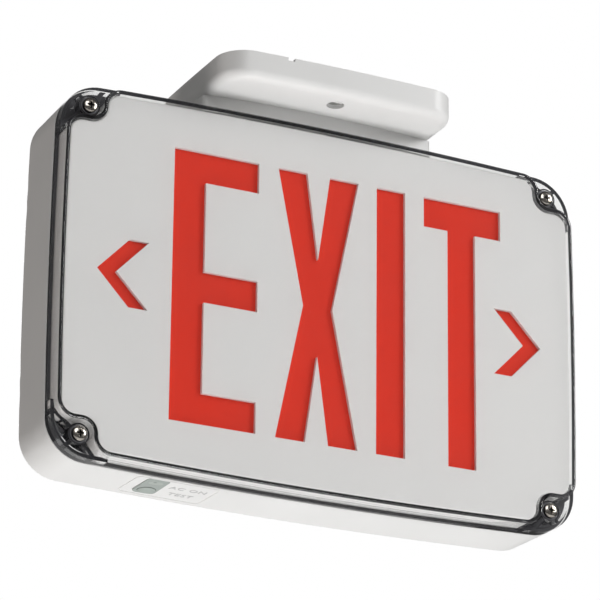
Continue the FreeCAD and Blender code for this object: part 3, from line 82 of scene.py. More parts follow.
class Graph:
    """A node tree of a material or of the surround, with short calls for its nodes."""

    def __init__(self, owner: bpy.types.Material | bpy.types.World, output: str) -> None:
        """Empty the owner's tree and give it an output node of that class.

        Args:
            owner: The material or surround.
            output: The output node's class name.
        """
        owner.use_nodes = True
        self.owner = owner
        self.tree = owner.node_tree
        self.tree.nodes.clear()
        self.output = self.add(output)

    def add(self, kind: str, **settings: object) -> bpy.types.Node:
        """Add a node.

        Args:
            kind: The node's class name.
            settings: Its properties, by name.

        Returns:
            The new node.
        """
        node = self.tree.nodes.new(kind)
        for key, value in settings.items():
            setattr(node, key, value)
        return node

    def join(self, source: bpy.types.NodeSocket, target: bpy.types.NodeSocket) -> None:
        """Link two sockets."""
        self.tree.links.new(source, target)

    def surface(self, shader: bpy.types.NodeSocket) -> None:
        """Make a shader the tree's result."""
        self.join(shader, self.output.inputs["Surface"])

    def math(self, operation: str, first: bpy.types.NodeSocket | float,
             second: bpy.types.NodeSocket | float) -> bpy.types.NodeSocket:
        """The result of an operation on two values, each a socket or a number.

        Args:
            operation: The operation's name.
            first: The first value.
            second: The second value.

        Returns:
            The result's socket.
        """
        node = self.add("ShaderNodeMath", operation=operation)
        for socket, value in zip(node.inputs, (first, second)):
            if isinstance(value, bpy.types.NodeSocket):
                self.join(value, socket)
            else:
                socket.default_value = value
        return node.outputs[0]

    def noise(self, scale: float, detail: float = 3.0, stretch: Colour = (1.0, 1.0, 1.0)
              ) -> bpy.types.NodeSocket:
        """A noise value on the piece's own coordinates.

        Args:
            scale: Cells per metre.
            detail: Octaves.
            stretch: Factors along the three axes, for brushed or drawn surfaces.

        Returns:
            The noise's value socket.
        """
        where = self.add("ShaderNodeTexCoord")
        mapping = self.add("ShaderNodeMapping")
        mapping.inputs["Scale"].default_value = stretch
        noise = self.add("ShaderNodeTexNoise")
        noise.inputs["Scale"].default_value = scale
        noise.inputs["Detail"].default_value = detail
        self.join(where.outputs["Object"], mapping.inputs["Vector"])
        self.join(mapping.outputs["Vector"], noise.inputs["Vector"])
        return noise.outputs["Fac"]

    def remap(self, value: bpy.types.NodeSocket, low: float, high: float, new_low: float = 0.0,
              new_high: float = 1.0, **settings: object) -> bpy.types.NodeSocket:
        """Map a value's range from low to high onto another range.

        Args:
            value: The value to map.
            low: Start of its range.
            high: End of its range.
            new_low: Start of the new range.
            new_high: End of the new range.
            settings: The node's other properties, by name.

        Returns:
            The new value's socket.
        """
        ranger = self.add("ShaderNodeMapRange", **settings)
        ranger.inputs["From Min"].default_value = low
        ranger.inputs["From Max"].default_value = high
        ranger.inputs["To Min"].default_value = new_low
        ranger.inputs["To Max"].default_value = new_high
        self.join(value, ranger.inputs["Value"])
        return ranger.outputs["Result"]

    def between(self, value: bpy.types.NodeSocket, low: float, high: float
                ) -> bpy.types.NodeSocket:
        """Map a noise value's middle range onto low to high."""
        return self.remap(value, *NOISE_RANGE, low, high)

    def tint(self, value: bpy.types.NodeSocket, first: Colour, second: Colour
             ) -> bpy.types.NodeSocket:
        """A colour between two, chosen by a noise value.

        Args:
            value: The noise value.
            first: The colour where the noise is low.
            second: The colour where it is high.

        Returns:
            The colour's socket.
        """
        ramp = self.add("ShaderNodeValToRGB")
        stops = ramp.color_ramp.elements
        for stop, position, colour in zip(stops, NOISE_RANGE, (first, second)):
            stop.position = position
            stop.color = (*colour, 1.0)
        self.join(value, ramp.inputs["Fac"])
        return ramp.outputs["Color"]

    def shade_recess(self, colour: bpy.types.NodeSocket, start: float, end: float
               ) -> bpy.types.NodeSocket:
        """A colour that turns nearly black from one depth along +Y to another.

        Args:
            colour: The colour outside the shaded recess.
            start: Depth at which it starts to darken.
            end: Depth from which it is dark.

        Returns:
            The colour's socket.
        """
        place = self.add("ShaderNodeSeparateXYZ")
        mix = self.add("ShaderNodeMixRGB")
        mix.inputs["Color2"].default_value = (*RECESS_SHADE_BLACK, 1.0)
        self.join(self.add("ShaderNodeTexCoord").outputs["Object"], place.inputs["Vector"])
        self.join(self.remap(place.outputs["Y"], start, end), mix.inputs["Fac"])
        self.join(colour, mix.inputs["Color1"])
        return mix.outputs["Color"]

    def bump(self, height: bpy.types.NodeSocket, distance: float, strength: float
             ) -> bpy.types.NodeSocket:
        """A normal from a height value, with its depth in metres.

        Args:
            height: The height, from 0 to 1.
            distance: What 1 stands for, in metres.
            strength: Share of the relief that shows.

        Returns:
            The normal's socket.
        """
        bump = self.add("ShaderNodeBump")
        bump.inputs["Distance"].default_value = distance
        bump.inputs["Strength"].default_value = strength
        self.join(height, bump.inputs["Height"])
        return bump.outputs["Normal"]

    def glow(self, shader: bpy.types.Node, strength: float) -> None:
        """Let a surface glow where it is seen straight, in gloss or through clear parts.

        It lights nothing: a ray that has left a matt surface finds no glow, and the surface
        isn't sampled as a lamp.

        Args:
            shader: The surface's Principled node.
            strength: What is added to the surface's own look, where 1 is white.
        """
        path = self.add("ShaderNodeLightPath").outputs
        seen = self.math("MAXIMUM", path["Is Camera Ray"], path["Is Glossy Ray"])
        seen = self.math("MAXIMUM", seen, path["Is Transmission Ray"])
        direct = self.math("LESS_THAN", path["Diffuse Depth"], 0.5)
        shader.inputs["Emission Color"].default_value = (*WHITE, 1.0)
        self.join(self.math("MULTIPLY", seen, self.math("MULTIPLY", direct, strength)),
                  shader.inputs["Emission Strength"])
        self.owner.cycles.emission_sampling = "NONE"


def material_graph(name: str) -> Graph:
    """A graph for a new material of that name."""
    return Graph(bpy.data.materials.new(name), "ShaderNodeOutputMaterial")


def shaded(colour: Colour, factor: float) -> Colour:
    """A colour made lighter or darker by a factor."""
    return tuple(min(1.0, channel * factor) for channel in colour)


# ------------------------------------------------------------------ finishes


@dataclass(frozen=True)
class Moulded:
    """Moulded plastic or rubber: a satin skin with fine grain and faint uneven gloss."""

    name: str
    colour: Colour
    roughness: float = 0.42
    grain: float = 2600.0
    depth: float = 0.00002
    variation: float = 0.03
    ior: float = 1.5
    mottling: float = 18.0
    uneven: float = 0.05
    relief: float = 0.35
    glow: float = 0.0

    def material(self) -> bpy.types.Material:
        """Build the material: slow mottling in colour and roughness, grain in bump.

        Returns:
            The new material.
        """
        graph = material_graph(self.name)
        shader = graph.add("ShaderNodeBsdfPrincipled")
        shader.inputs["IOR"].default_value = self.ior
        slow = graph.noise(self.mottling, 4.0)
        fine = graph.noise(self.grain, 2.0)
        graph.join(graph.tint(slow, shaded(self.colour, 1.0 - self.variation), self.colour),
                   shader.inputs["Base Color"])
        graph.join(graph.between(slow, self.roughness - self.uneven,
                                 self.roughness + self.uneven), shader.inputs["Roughness"])
        graph.join(graph.bump(fine, self.depth, self.relief), shader.inputs["Normal"])
        if self.glow:
            graph.glow(shader, self.glow)
        graph.surface(shader.outputs["BSDF"])
        return graph.owner


@dataclass(frozen=True)
class Metal:
    """Bare or plated metal with a drawn or turned grain."""

    name: str
    colour: Colour
    roughness: float = 0.3
    grain: float = 900.0
    stretch: Colour = (1.0, 1.0, 1.0)
    depth: float = 0.00001
    # Depths along +Y over which painted shade darkens a recess, if any.
    recess_shade: tuple[float, float] | None = None
    wear: float = 0.86
    smoother: float = 0.08
    rougher: float = 0.1
    relief: float = 0.3

    def material(self) -> bpy.types.Material:
        """Build the material: full metal, its grain in roughness and bump, painted shade in a
        recess.

        The recess shade is a pair of depths along +Y: painted shade darkens the metal from the
        first to the second, standing for the shadow inside the recess.

        Returns:
            The new material.
        """
        graph = material_graph(self.name)
        shader = graph.add("ShaderNodeBsdfPrincipled")
        shader.inputs["Metallic"].default_value = 1.0
        grain = graph.noise(self.grain, 3.0, self.stretch)
        colour = graph.tint(grain, shaded(self.colour, self.wear), self.colour)
        # Painted shade: the colour darkens with depth in the recess.
        if self.recess_shade:
            colour = graph.shade_recess(colour, *self.recess_shade)
        graph.join(colour, shader.inputs["Base Color"])
        graph.join(graph.between(grain, self.roughness - self.smoother,
                                 self.roughness + self.rougher), shader.inputs["Roughness"])
        graph.join(graph.bump(grain, self.depth, self.relief), shader.inputs["Normal"])
        graph.surface(shader.outputs["BSDF"])
        return graph.owner


@dataclass(frozen=True)
class Clear:
    """Clear polycarbonate that lets the lamps' rays through."""

    name: str
    colour: Colour = (0.97, 0.97, 0.965)
    ior: float = 1.58
    passes: Colour = (0.84, 0.84, 0.84)
    cells: float = 60.0
    haze: tuple[float, float] = (0.01, 0.03)

    def material(self) -> bpy.types.Material:
        """Build the material: glass, and plain see-through where a lamp's ray asks.

        Returns:
            The new material.
        """
        graph = material_graph(self.name)
        shader = graph.add("ShaderNodeBsdfPrincipled")
        shader.inputs["Base Color"].default_value = (*self.colour, 1.0)
        shader.inputs["IOR"].default_value = self.ior
        shader.inputs["Transmission Weight"].default_value = 1.0
        graph.join(graph.between(graph.noise(self.cells, 2.0), *self.haze),
                   shader.inputs["Roughness"])
        through = graph.add("ShaderNodeBsdfTransparent")
        through.inputs["Color"].default_value = (*self.passes, 1.0)
        path = graph.add("ShaderNodeLightPath")
        mix = graph.add("ShaderNodeMixShader")
        graph.join(path.outputs["Is Shadow Ray"], mix.inputs["Fac"])
        graph.join(shader.outputs["BSDF"], mix.inputs[1])
        graph.join(through.outputs["BSDF"], mix.inputs[2])
        graph.surface(mix.outputs["Shader"])
        return graph.owner


FINISHES: dict[str, Moulded | Metal | Clear] = {
    "canopy": Moulded("canopy_white", (0.90, 0.90, 0.89), 0.38),
    # The raised words: a darker grey than the box, painted shade for the shadow along the
    # letters' edges.
    "word_shade": Moulded("word_painted_shade", (0.52, 0.52, 0.52), 0.45),
    "box": Moulded("box_white", (0.80, 0.80, 0.79), 0.40),
    "stencil": Moulded("stencil_white", (0.84, 0.835, 0.83), 0.5, 3000.0, 0.000004, 0.02),
    "tray": Moulded("tray_white", (0.85, 0.85, 0.84), 0.5),
    "red": Moulded("diffuser_red", (0.86, 0.032, 0.009), 0.7, 1500.0, 0.00001, 0.05, 1.28),
    "seal": Moulded("seal_rubber", (0.145, 0.145, 0.16), 0.55, 1500.0, 0.00003, 0.2),
    "pad": Moulded("switch_rubber", (0.335, 0.37, 0.35), 0.5, 1700.0, 0.00003, 0.06),
    "button": Moulded("button_rubber", (0.35, 0.39, 0.365), 0.46, 1700.0, 0.00003, 0.06),
    "window": Moulded("window_grey", (0.37, 0.41, 0.38), 0.25, 2500.0, 0.00001, 0.04),
    "board": Moulded("board_green", (0.02, 0.16, 0.05), 0.35, 700.0, 0.00004, 0.25),
    "lamp": Moulded("lamp_cap", (0.85, 0.74, 0.32), 0.2, 900.0, 0.00001, 0.08),
    "core": Metal("core_steel", (0.32, 0.29, 0.26), 0.5, 1400.0, (1.0, 0.05, 1.0)),
    "can": Moulded("can_sleeve", (0.05, 0.07, 0.16), 0.3, 500.0, 0.00001, 0.1),
    "dark": Moulded("relay_black", (0.02, 0.02, 0.022), 0.4, 1200.0, 0.00002, 0.15),
    "terminal": Moulded("terminal_green", (0.05, 0.22, 0.10), 0.4, 1200.0, 0.00002, 0.1),
    "battery": Moulded("battery_sleeve", (0.06, 0.16, 0.42), 0.25, 300.0, 0.00003, 0.08),
    "green": Moulded("indicator_green", (0.06, 0.36, 0.09), 0.15, 900.0, 0.00001, 0.05),
    "steel": Metal("zinc_plate", (0.62, 0.62, 0.60), 0.36, 700.0, (1.0, 0.1, 1.0)),
    "screw": Metal("stainless_screw", (0.58, 0.54, 0.49), 0.17, 1600.0),
    "spring": Metal("spring_wire", (0.6, 0.6, 0.58), 0.25, 2000.0),
    "clear": Clear("clear_cover_moulding"),
    "floor": Moulded("floor_paint", (0.85, 0.85, 0.85), 0.7, glow=0.6),
}


class Workshop:
    """Keeps one material per finish, and puts finishes on nodes and new pieces."""

    def __init__(self) -> None:
        """Start with no material made."""
        self.made: dict[str, bpy.types.Material] = {}

    def finish(self, key: str) -> bpy.types.Material:
        """The material of a finish, made on first use.

        Args:
            key: The finish's key.

        Returns:
            Its material.
        """
        if key not in self.made:
            self.made[key] = FINISHES[key].material()
        return self.made[key]

    def dress(self, node: str, key: str) -> None:
        """Put a finish on a CAD node."""
        self.paint(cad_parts[node], key)
        LOG.info("dressed %s as %s", node, key)

    def paint(self, piece: bpy.types.Object, key: str) -> None:
        """Make a finish a piece's only material."""
        piece.data.materials.clear()
        piece.data.materials.append(self.finish(key))

    def add(self, piece: bpy.types.Object, key: str, slot: str, body: Body, *nodes: str) -> None:
        """Finish a new piece, let it ride on a body, and hide the nodes that it stands for.

        Args:
            piece: The new piece.
            key: Its finish.
            slot: The material slot that it belongs to; not used.
            body: The body that it rides on.
            nodes: The CAD nodes that it replaces, if any.
        """
        self.paint(piece, key)
        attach(piece, body.value)
        if nodes:
            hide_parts(*nodes)
        LOG.info("added %s", piece.name)


# ------------------------------------------------------------------ meshes


def mesh_piece(name: str, points: np.ndarray, faces: np.ndarray, smooth: bool = True
               ) -> bpy.types.Object:
    """A piece from arrays of points (n, 3) and faces (m, 3 or 4).

    Args:
        name: The piece's name.
        points: Its points, in place.
        faces: The points' numbers, face by face.
        smooth: Whether its faces are shaded smoothly.

    Returns:
        The piece, linked into the scene.
    """
    mesh = bpy.data.meshes.new(name)
    mesh.from_pydata(points.tolist(), [], faces.tolist())
    mesh.polygons.foreach_set("use_smooth", np.full(len(mesh.polygons), smooth))
    mesh.update()
    piece = bpy.data.objects.new(name, mesh)
    bpy.context.scene.collection.objects.link(piece)
    return piece


def soft_normals(mesh: bpy.types.Mesh, angle: float) -> None:
    """Shade a merged triangle mesh smoothly where its faces meet at less than an angle.

    A corner's normal is the sum of the faces round its point, each weighted by its area and
    taken only if it lies within the angle of the corner's own face, so wide flats stay flat.

    Args:
        mesh: A mesh of triangles, its doubles merged.
        angle: The limit in degrees.
    """
    count = len(mesh.polygons)
    normals = np.empty(count * 3)
    areas = np.empty(count)
    corners = np.empty(count * 3, dtype=np.int64)
    mesh.polygons.foreach_get("normal", normals)
    mesh.polygons.foreach_get("area", areas)
    mesh.loops.foreach_get("vertex_index", corners)
    normals = normals.reshape(-1, 3)
    face = np.repeat(np.arange(count), 3)
    order = np.argsort(corners, kind="stable")
    fans = np.bincount(corners[order], minlength=len(mesh.vertices))
    starts = np.cumsum(fans) - fans
    size = fans[corners[order]]
    left = np.repeat(np.arange(len(order)), size)
    step = np.arange(len(left)) - np.repeat(np.cumsum(size) - size, size)
    right = starts[corners[order]][left] + step
    own, other = face[order[left]], face[order[right]]
    near = (normals[own] * normals[other]).sum(axis=1) > math.cos(math.radians(angle))
    push = normals[other] * (areas[other] * near)[:, None]
    total = np.stack([np.bincount(left, push[:, axis], len(order)) for axis in range(3)], axis=1)
    total /= np.maximum(np.linalg.norm(total, axis=1), LEAST_LENGTH)[:, None]
    custom = np.empty((len(order), 3))
    custom[order] = total
    mesh.polygons.foreach_set("use_smooth", np.full(count, True))
    mesh.normals_split_custom_set(custom.tolist())


def soft_copy(node: str, name: str, angle: float = 32.0) -> bpy.types.Object:
    """A copy of a CAD node with its doubles merged and its curves shaded smoothly.

    Args:
        node: The CAD node, which stays as it is.
        name: The copy's name.
        angle: Faces that meet at less than this many degrees are shaded as one.

    Returns:
        The copy, linked into the scene.
    """
    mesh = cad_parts[node].data.copy()
    mesh.name = name
    work = bmesh.new()
    work.from_mesh(mesh)
    bmesh.ops.remove_doubles(work, verts=work.verts, dist=MERGE_WITHIN)
    bmesh.ops.dissolve_degenerate(work, dist=SLIVER_UNDER, edges=work.edges)
    bmesh.ops.triangulate(work, faces=work.faces)
    work.to_mesh(mesh)
    work.free()
    soft_normals(mesh, angle)
    piece = bpy.data.objects.new(name, mesh)
    bpy.context.scene.collection.objects.link(piece)
    return piece


# ------------------------------------------------------------------ sub-assemblies


@dataclass
class CeilingFixing:
    """Canopy, neck, crossbar, nipple and nuts."""

    smooth: float = 32.0

    def build(self, shop: Workshop) -> None:
        """Dress the fixing, with smooth shading on the two mouldings that show.

        Args:
            shop: The workshop that holds the finishes and takes the pieces.
        """
        for node in ("canopy", "mounting_neck"):
            shop.add(soft_copy(node, node + "_moulding", self.smooth), "canopy", "white",
                     Body.SIGN, node)
        for node in ("crossbar", "threaded_nipple", "nipple_locknuts"):
            shop.dress(node, "steel")
        shop.dress("neck_seal", "seal")


@dataclass
class BackBox:
    """The moulded back box, its seal and the words beside the switch."""

    half_width: float = 0.1545
    bow: float = 0.0032
    rise: float = 0.0002
    sink: float = 0.0003
    draft: float = 0.0010
    draft_run: float = 0.0385
    capital_share: float = 0.7
    letter_space: float = 1.12
    words: tuple[tuple[str, float, float, float], ...] = (
        ("AC ON", -0.0666, 0.0230, 0.0042),
        ("TEST", -0.0666, 0.0335, 0.0042))

    def build(self, shop: Workshop) -> None:
        """Dress the box and add its raised words.

        Args:
            shop: The workshop that holds the finishes and takes the pieces.
        """
        shop.add(soft_copy("housing", "housing_moulding"), "box", "white", Body.SIGN, "housing")
        shop.dress("housing_seal", "seal")
        for word, x, y, height in self.words:
            piece = self.lettering(word, x, y, height)
            # The words take the darker grey finish, which is painted shade.
            shop.add(piece, "word_shade", "white", Body.SIGN)

    def skin(self, x: np.ndarray) -> np.ndarray:
        """Height of the underside at its rim.

        It is an arc through the middle and both ends, whose middle hangs lower by the bow: its
        radius is the half width squared and the bow squared, summed, over twice the bow.

        Args:
            x: Places along the box.

        Returns:
            The height of the skin at each.
        """
        radius = (self.half_width ** 2 + self.bow ** 2) / (2 * self.bow)
        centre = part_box("housing")[0][2] + radius
        return centre - np.sqrt(radius ** 2 - x ** 2)

    def lettering(self, word: str, x: float, y: float, height: float) -> bpy.types.Object:
        """Raised letters on the underside, read from below and in front.

        The letters' plane is turned so that their tops point to the front and their faces
        down, and each point is then lifted onto the arc of the underside.

        Args:
            word: The text.
            x: The word's middle.
            y: The word's middle, behind the stencil's front face.
            height: Height of the capitals.

        Returns:
            The word as a mesh in place.
        """
        curve = bpy.data.curves.new("word", "FONT")
        curve.body = word
        curve.size = height / self.capital_share
        curve.align_x = "CENTER"
        curve.align_y = "CENTER"
        curve.space_character = self.letter_space
        curve.extrude = (self.rise + self.sink) / 2
        text = bpy.data.objects.new("word", curve)
        bpy.context.scene.collection.objects.link(text)
        bpy.context.view_layer.update()
        mesh = bpy.data.meshes.new_from_object(text)
        bpy.data.objects.remove(text)
        points = np.empty(len(mesh.vertices) * 3)
        mesh.vertices.foreach_get("co", points)
        points = points.reshape(-1, 3)
        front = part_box("face_plate")[0][1]
        across = points[:, 0] + x
        back = front + y - points[:, 1]
        draft = self.draft * (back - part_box("housing")[0][1]) / self.draft_run
        down = self.skin(across) + draft + (self.sink - self.rise) / 2 - points[:, 2]
        mesh.vertices.foreach_set("co", np.stack([across, back, down], axis=1).ravel())
        mesh.update()
        name = "word_" + word.lower().replace(" ", "_")
        mesh.name = name
        piece = bpy.data.objects.new(name, mesh)
        bpy.context.scene.collection.objects.link(piece)
        return piece


@dataclass
class Face:
    """Clear cover, stencil and red diffuser."""

    smooth: float = 40.0

    def build(self, shop: Workshop) -> None:
        """Dress the stencil and the diffuser, and make the clear cover.

        Args:
            shop: The workshop that holds the finishes and takes the pieces.
        """
        shop.add(soft_copy("face_plate", "stencil_moulding"), "stencil", "plate_white",
                 Body.SIGN, "face_plate")
        shop.dress("red_diffuser", "red")
        shop.add(soft_copy("clear_cover", "cover_moulding", self.smooth), "clear", "clear",
                 Body.SIGN, "clear_cover")


@dataclass
class Interior:
    """What the box holds: light tray, lamps, control board, battery."""

    finishes: dict[str, str] = field(default_factory=lambda: {
        "light_tray": "tray", "lamp_strips": "board", "lamps": "lamp", "control_board": "board",
        "transformer": "core", "capacitors": "can", "relay": "dark", "terminal_block": "terminal",
        "battery_pack": "battery", "battery_clips": "steel", "tray_screws": "screw",
        "board_screws": "screw", "clip_screws": "screw", "switch_board_screws": "screw"})

    def build(self, shop: Workshop) -> None:
        """Dress each node."""
        for node, key in self.finishes.items():
            shop.dress(node, key)


@dataclass
class TestSwitch:
    """Rubber pad, indicator window, button and what is behind them."""

    travel: float = 0.0015

    def build(self, shop: Workshop) -> None:
        """Dress the switch, with smooth shading on what shows.

        Args:
            shop: The workshop that holds the finishes and takes the pieces.
        """
        shop.add(soft_copy("switch_pad", "switch_pad_rubber"), "pad", "pad", Body.SIGN,
                 "switch_pad")
        shop.add(soft_copy("test_button", "test_button_rubber"), "button", "button",
                 Body.BUTTON, "test_button")
        shop.add(soft_copy("indicator_window", "indicator_window_lens"), "window", "window",
                 Body.SIGN, "indicator_window")
        for node, key in (("switch_board", "board"), ("push_switch", "dark"),
                          ("indicator_lamp", "green")):
            shop.dress(node, key)
        self.spring(shop)

    def spring(self, shop: Workshop) -> None:
        """The return spring, a smooth copy that rides on the sign with a mesh of its own.

        Args:
            shop: The workshop that holds the finishes and takes the pieces.
        """
        coil = soft_copy("button_spring", "button_return_spring")
        shop.add(coil, "spring", "steel", Body.SIGN, "button_spring")
        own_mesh(coil)


@dataclass
class CoverScrews:
    """Pan heads with a cross recess, as a height over a disc."""

    radius: float = 0.0041
    edge: float = 0.985
    rise: float = 0.0026
    crown: float = 0.62
    bulge: float = 0.94
    bulge_power: float = 2.4
    slot: float = 0.00055
    slot_slope: float = 0.00022
    reach: float = 0.0022
    reach_slope: float = 0.0005
    depth: float = 0.0016
    floor_rise: float = 0.45
    shank: float = 0.0015
    tip: float = 0.0002
    rings: int = 40
    ring_power: float = 0.8
    spokes: int = 96
    # Depths below the head's top over which painted shade darkens the cross recess.
    shade: tuple[float, float] = (0.0005, 0.0011)
    smooth: float = 38.0

    def build(self, shop: Workshop) -> None:
        """Make the four heads with their shanks, in one piece, and dress the washers.

        Args:
            shop: The workshop that holds the finishes and takes the pieces.
        """
        low, high = (np.array(corner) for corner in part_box("cover_screws"))
        points, faces = self.screw(high[1] - low[1])
        everything, joined = [], []
        for x in (low[0] + self.radius, high[0] - self.radius):
            for z in (low[2] + self.radius, high[2] - self.radius):
                joined.append(faces + len(points) * len(everything))
                everything.append(points + np.array([x, low[1], z]))
        piece = mesh_piece("cover_screw_heads", np.concatenate(everything),
                           np.concatenate(joined))
        soft_normals(piece.data, self.smooth)
        # Painted shade in the cross recess, darker with depth, in the heads' own material.
        recess_shade = tuple(float(low[1]) + depth for depth in self.shade)
        shop.made["head"] = replace(FINISHES["screw"], name="stainless_head",
                                    recess_shade=recess_shade).material()
        shop.add(piece, "head", "screw", Body.SIGN, "cover_screws")
        shop.dress("screw_seals", "seal")

    def screw(self, length: float) -> tuple[np.ndarray, np.ndarray]:
        """Points and triangles of one screw, its head's top at y = 0 and its shank along +y.

        The head is a disc of rings whose height falls as a circle's arc towards the rim, less
        the recess: a cross whose arms narrow outwards and whose walls slope a little.  Rings
        on the rim, the seat and the shank close it.

        Args:
            length: Head and shank together.

        Returns:
            Points (n, 3) and triangles (m, 3).
        """
        ring = np.linspace(0.0, 1.0, self.rings)[1:] ** self.ring_power
        turn = np.arange(self.spokes) * 2 * math.pi / self.spokes
        radius, angle = np.meshgrid(ring * self.radius * self.edge, turn, indexing="ij")
        x, z = radius * np.cos(angle), radius * np.sin(angle)
        fall = (self.bulge * radius / self.radius) ** self.bulge_power
        dome = self.rise * self.crown * (1 - np.sqrt(np.clip(1 - fall, 0, 1)))
        arm = np.minimum(np.abs(x), np.abs(z))
        run = np.maximum(np.abs(x), np.abs(z))
        wall = (np.clip((self.slot - arm) / self.slot_slope, 0, 1)
                * np.clip((self.reach - run) / self.reach_slope, 0, 1))
        y = dome + self.depth * wall * (1 - self.floor_rise * run / self.reach)
        top = np.stack([x, y, z], axis=2)
        sides = np.array([(self.radius, self.rise * self.crown), (self.radius, self.rise),
                          (self.shank, self.rise), (self.shank, length - self.shank),
                          (self.tip, length)])
        width, height = sides[:, :1], sides[:, 1:]
        rims = np.stack(np.broadcast_arrays(width * np.cos(turn), height,
                                            width * np.sin(turn)), axis=2)
        rows = np.concatenate([top, rims])
        centre = np.array([[0.0, self.depth, 0.0], [0.0, length, 0.0]])
        points = np.concatenate([rows.reshape(-1, 3), centre])
        count, spokes = rows.shape[0], self.spokes
        here = np.arange(spokes)
        after = (here + 1) % spokes
        row = np.arange(count - 1)[:, None] * spokes
        a, b = row + here, row + after
        c, d = b + spokes, a + spokes
        walls = np.concatenate([np.stack([a, b, c], axis=2).reshape(-1, 3),
                                np.stack([a, c, d], axis=2).reshape(-1, 3)])
        hub = np.stack([np.full(spokes, count * spokes), after, here], axis=1)
        last = (count - 1) * spokes
        tip = np.stack([np.full(spokes, count * spokes + 1), last + here, last + after], axis=1)
        return points, np.concatenate([walls, hub, tip])


# ------------------------------------------------------------------ studio


@dataclass(frozen=True)
class SoftLamp:
    """A square soft lamp that faces a point."""

    name: str
    place: Place
    aim: Place
    size: float
    power: float
    colour: Colour = WHITE

    def build(self) -> None:
        """Hang the lamp; clear parts don't show it, so that its light is counted once."""
        data = bpy.data.lights.new(self.name, "AREA")
        data.size = self.size
        data.energy = self.power
        data.color = self.colour
        lamp = bpy.data.objects.new(self.name, data)
        lamp.visible_transmission = False
        bpy.context.scene.collection.objects.link(lamp)
        line = Vector(self.aim) - Vector(self.place)
        facing = line.to_track_quat("-Z", "Y").to_matrix().to_4x4()
        lamp.matrix_world = Matrix.Translation(Vector(self.place)) @ facing


SIGN_MIDDLE: Place = (0.0, 0.0, -0.13)
SIGN_UPPER: Place = (0.0, 0.0, -0.1)


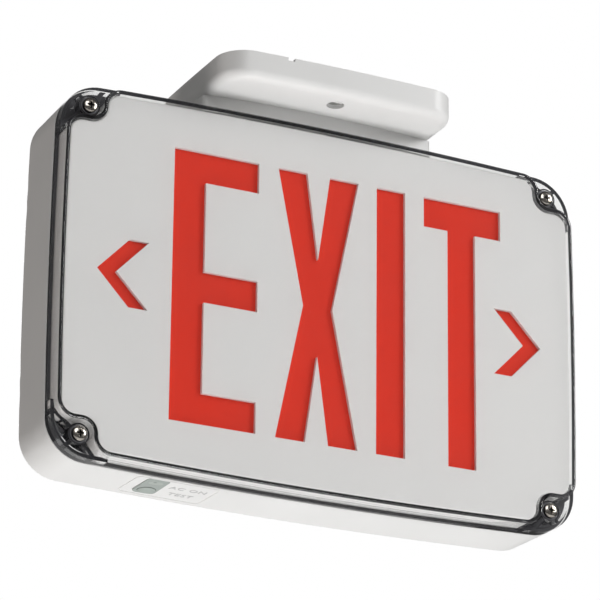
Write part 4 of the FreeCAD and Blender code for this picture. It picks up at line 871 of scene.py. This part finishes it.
@dataclass
class Studio:
    """Camera, soft lamps, white surround and pale floor."""

    lens: float = 219.7
    sensor: float = 36.0
    sight_end: float = 50.0
    eye: Place = (-0.8166, -1.6565, -0.8158)
    right: Place = (0.8957, -0.4446, 0.0102)
    down: Place = (0.1660, 0.3131, -0.9351)
    forward: Place = (0.4126, 0.8392, 0.3543)
    ambient: float = 0.13
    ambient_tone: Colour = (1.0, 0.975, 0.955)
    room: float = 0.10
    fade: tuple[float, float] = (0.93, 0.985)
    floor_height: float = -2.2
    floor_reach: float = 6.0
    lamps: tuple[SoftLamp, ...] = (
        SoftLamp("below", (0.1, -0.35, -1.5), SIGN_MIDDLE, 1.0, 11.6),
        SoftLamp("underside", (0.1, -0.16, -1.6), SIGN_MIDDLE, 0.8, 4.8),
        SoftLamp("front", (-0.3, -2.3, 1.1), SIGN_UPPER, 1.1, 13.5),
        SoftLamp("right", (1.6, -1.3, 0.7), SIGN_UPPER, 0.9, 22.0),
        SoftLamp("left", (-1.9, 0.1, -1.1), SIGN_MIDDLE, 0.8, 9.0, (1.0, 0.93, 0.89)),
        SoftLamp("back", (0.6, 2.2, 0.4), SIGN_MIDDLE, 0.9, 14.0))

    def camera(self) -> None:
        """Place the camera from its right, down and forward directions."""
        data = bpy.data.cameras.new("camera")
        data.lens = self.lens
        data.sensor_width = self.sensor
        data.clip_end = self.sight_end
        camera = bpy.data.objects.new("camera", data)
        bpy.context.scene.collection.objects.link(camera)
        columns = [Vector(self.right), -Vector(self.down), -Vector(self.forward)]
        turn = Matrix([list(row) for row in zip(*columns)]).to_quaternion().to_matrix().to_4x4()
        camera.matrix_world = Matrix.Translation(Vector(self.eye)) @ turn
        bpy.context.scene.camera = camera

    def surround(self) -> None:
        """White for the eye, and for surfaces a dim even light.

        Gloss and clear parts see the same white backdrop behind the sign, which fades into a
        dark room to the sides and in front: the fade follows the cosine between a ray and the
        line of sight.
        """
        world = bpy.data.worlds.new("surround")
        graph = Graph(world, "ShaderNodeOutputWorld")

        def light(colour: Colour, strength: bpy.types.NodeSocket | float
                  ) -> bpy.types.NodeSocket:
            """An even light of a colour, its strength a socket or a number.

            Args:
                colour: Its colour.
                strength: Its strength.

            Returns:
                The light's socket.
            """
            node = graph.add("ShaderNodeBackground")
            node.inputs["Color"].default_value = (*colour, 1.0)
            if isinstance(strength, bpy.types.NodeSocket):
                graph.join(strength, node.inputs["Strength"])
            else:
                node.inputs["Strength"].default_value = strength
            return node.outputs[0]

        def choose(share: bpy.types.NodeSocket, first: bpy.types.NodeSocket,
                   second: bpy.types.NodeSocket) -> bpy.types.NodeSocket:
            """The first light, and the second for rays of the kind that share picks.

            Args:
                share: 1 for the rays that see the second light.
                first: The light for other rays.
                second: The light for those rays.

            Returns:
                The joined light's socket.
            """
            mix = graph.add("ShaderNodeMixShader")
            for source, target in zip((share, first, second), mix.inputs):
                graph.join(source, target)
            return mix.outputs[0]

        path = graph.add("ShaderNodeLightPath").outputs
        along = graph.add("ShaderNodeVectorMath", operation="DOT_PRODUCT")
        along.inputs[1].default_value = self.forward
        graph.join(graph.add("ShaderNodeTexCoord").outputs["Generated"], along.inputs[0])
        fade = graph.remap(along.outputs["Value"], *self.fade, self.room, 1.0,
                           interpolation_type="SMOOTHSTEP")
        mirrored = graph.math("MAXIMUM", path["Is Glossy Ray"], path["Is Transmission Ray"])
        lit = choose(mirrored, light(self.ambient_tone, self.ambient), light(WHITE, fade))
        graph.surface(choose(path["Is Camera Ray"], lit, light(WHITE, 1.0)))
        bpy.context.scene.world = world

    def floor(self) -> None:
        """A wide pale floor far below the sign, which keeps the sign's shadow."""
        corners = np.array([[-1.0, -1.0, 0.0], [1.0, -1.0, 0.0], [1.0, 1.0, 0.0],
                            [-1.0, 1.0, 0.0]]) * self.floor_reach
        corners[:, 2] = self.floor_height
        floor = mesh_piece("floor", corners, np.array([[0, 1, 2, 3]]), smooth=False)
        floor.data.materials.append(FINISHES["floor"].material())

    def build(self) -> None:
        """Set up the whole studio."""
        self.camera()
        self.surround()
        self.floor()
        for lamp in self.lamps:
            lamp.build()
        bpy.context.scene.view_settings.view_transform = "Standard"
        LOG.info("studio ready")


def main() -> None:
    """Build the sub-assemblies in order, then the studio."""
    logging.basicConfig(level=logging.INFO, format="%(name)s: %(message)s")
    shop = Workshop()
    for assembly in (CeilingFixing(), BackBox(), Face(), Interior(), TestSwitch(), CoverScrews()):
        assembly.build(shop)
        LOG.info("%s done", type(assembly).__name__)
    Studio().build()


if __name__ == "__main__":
    main()
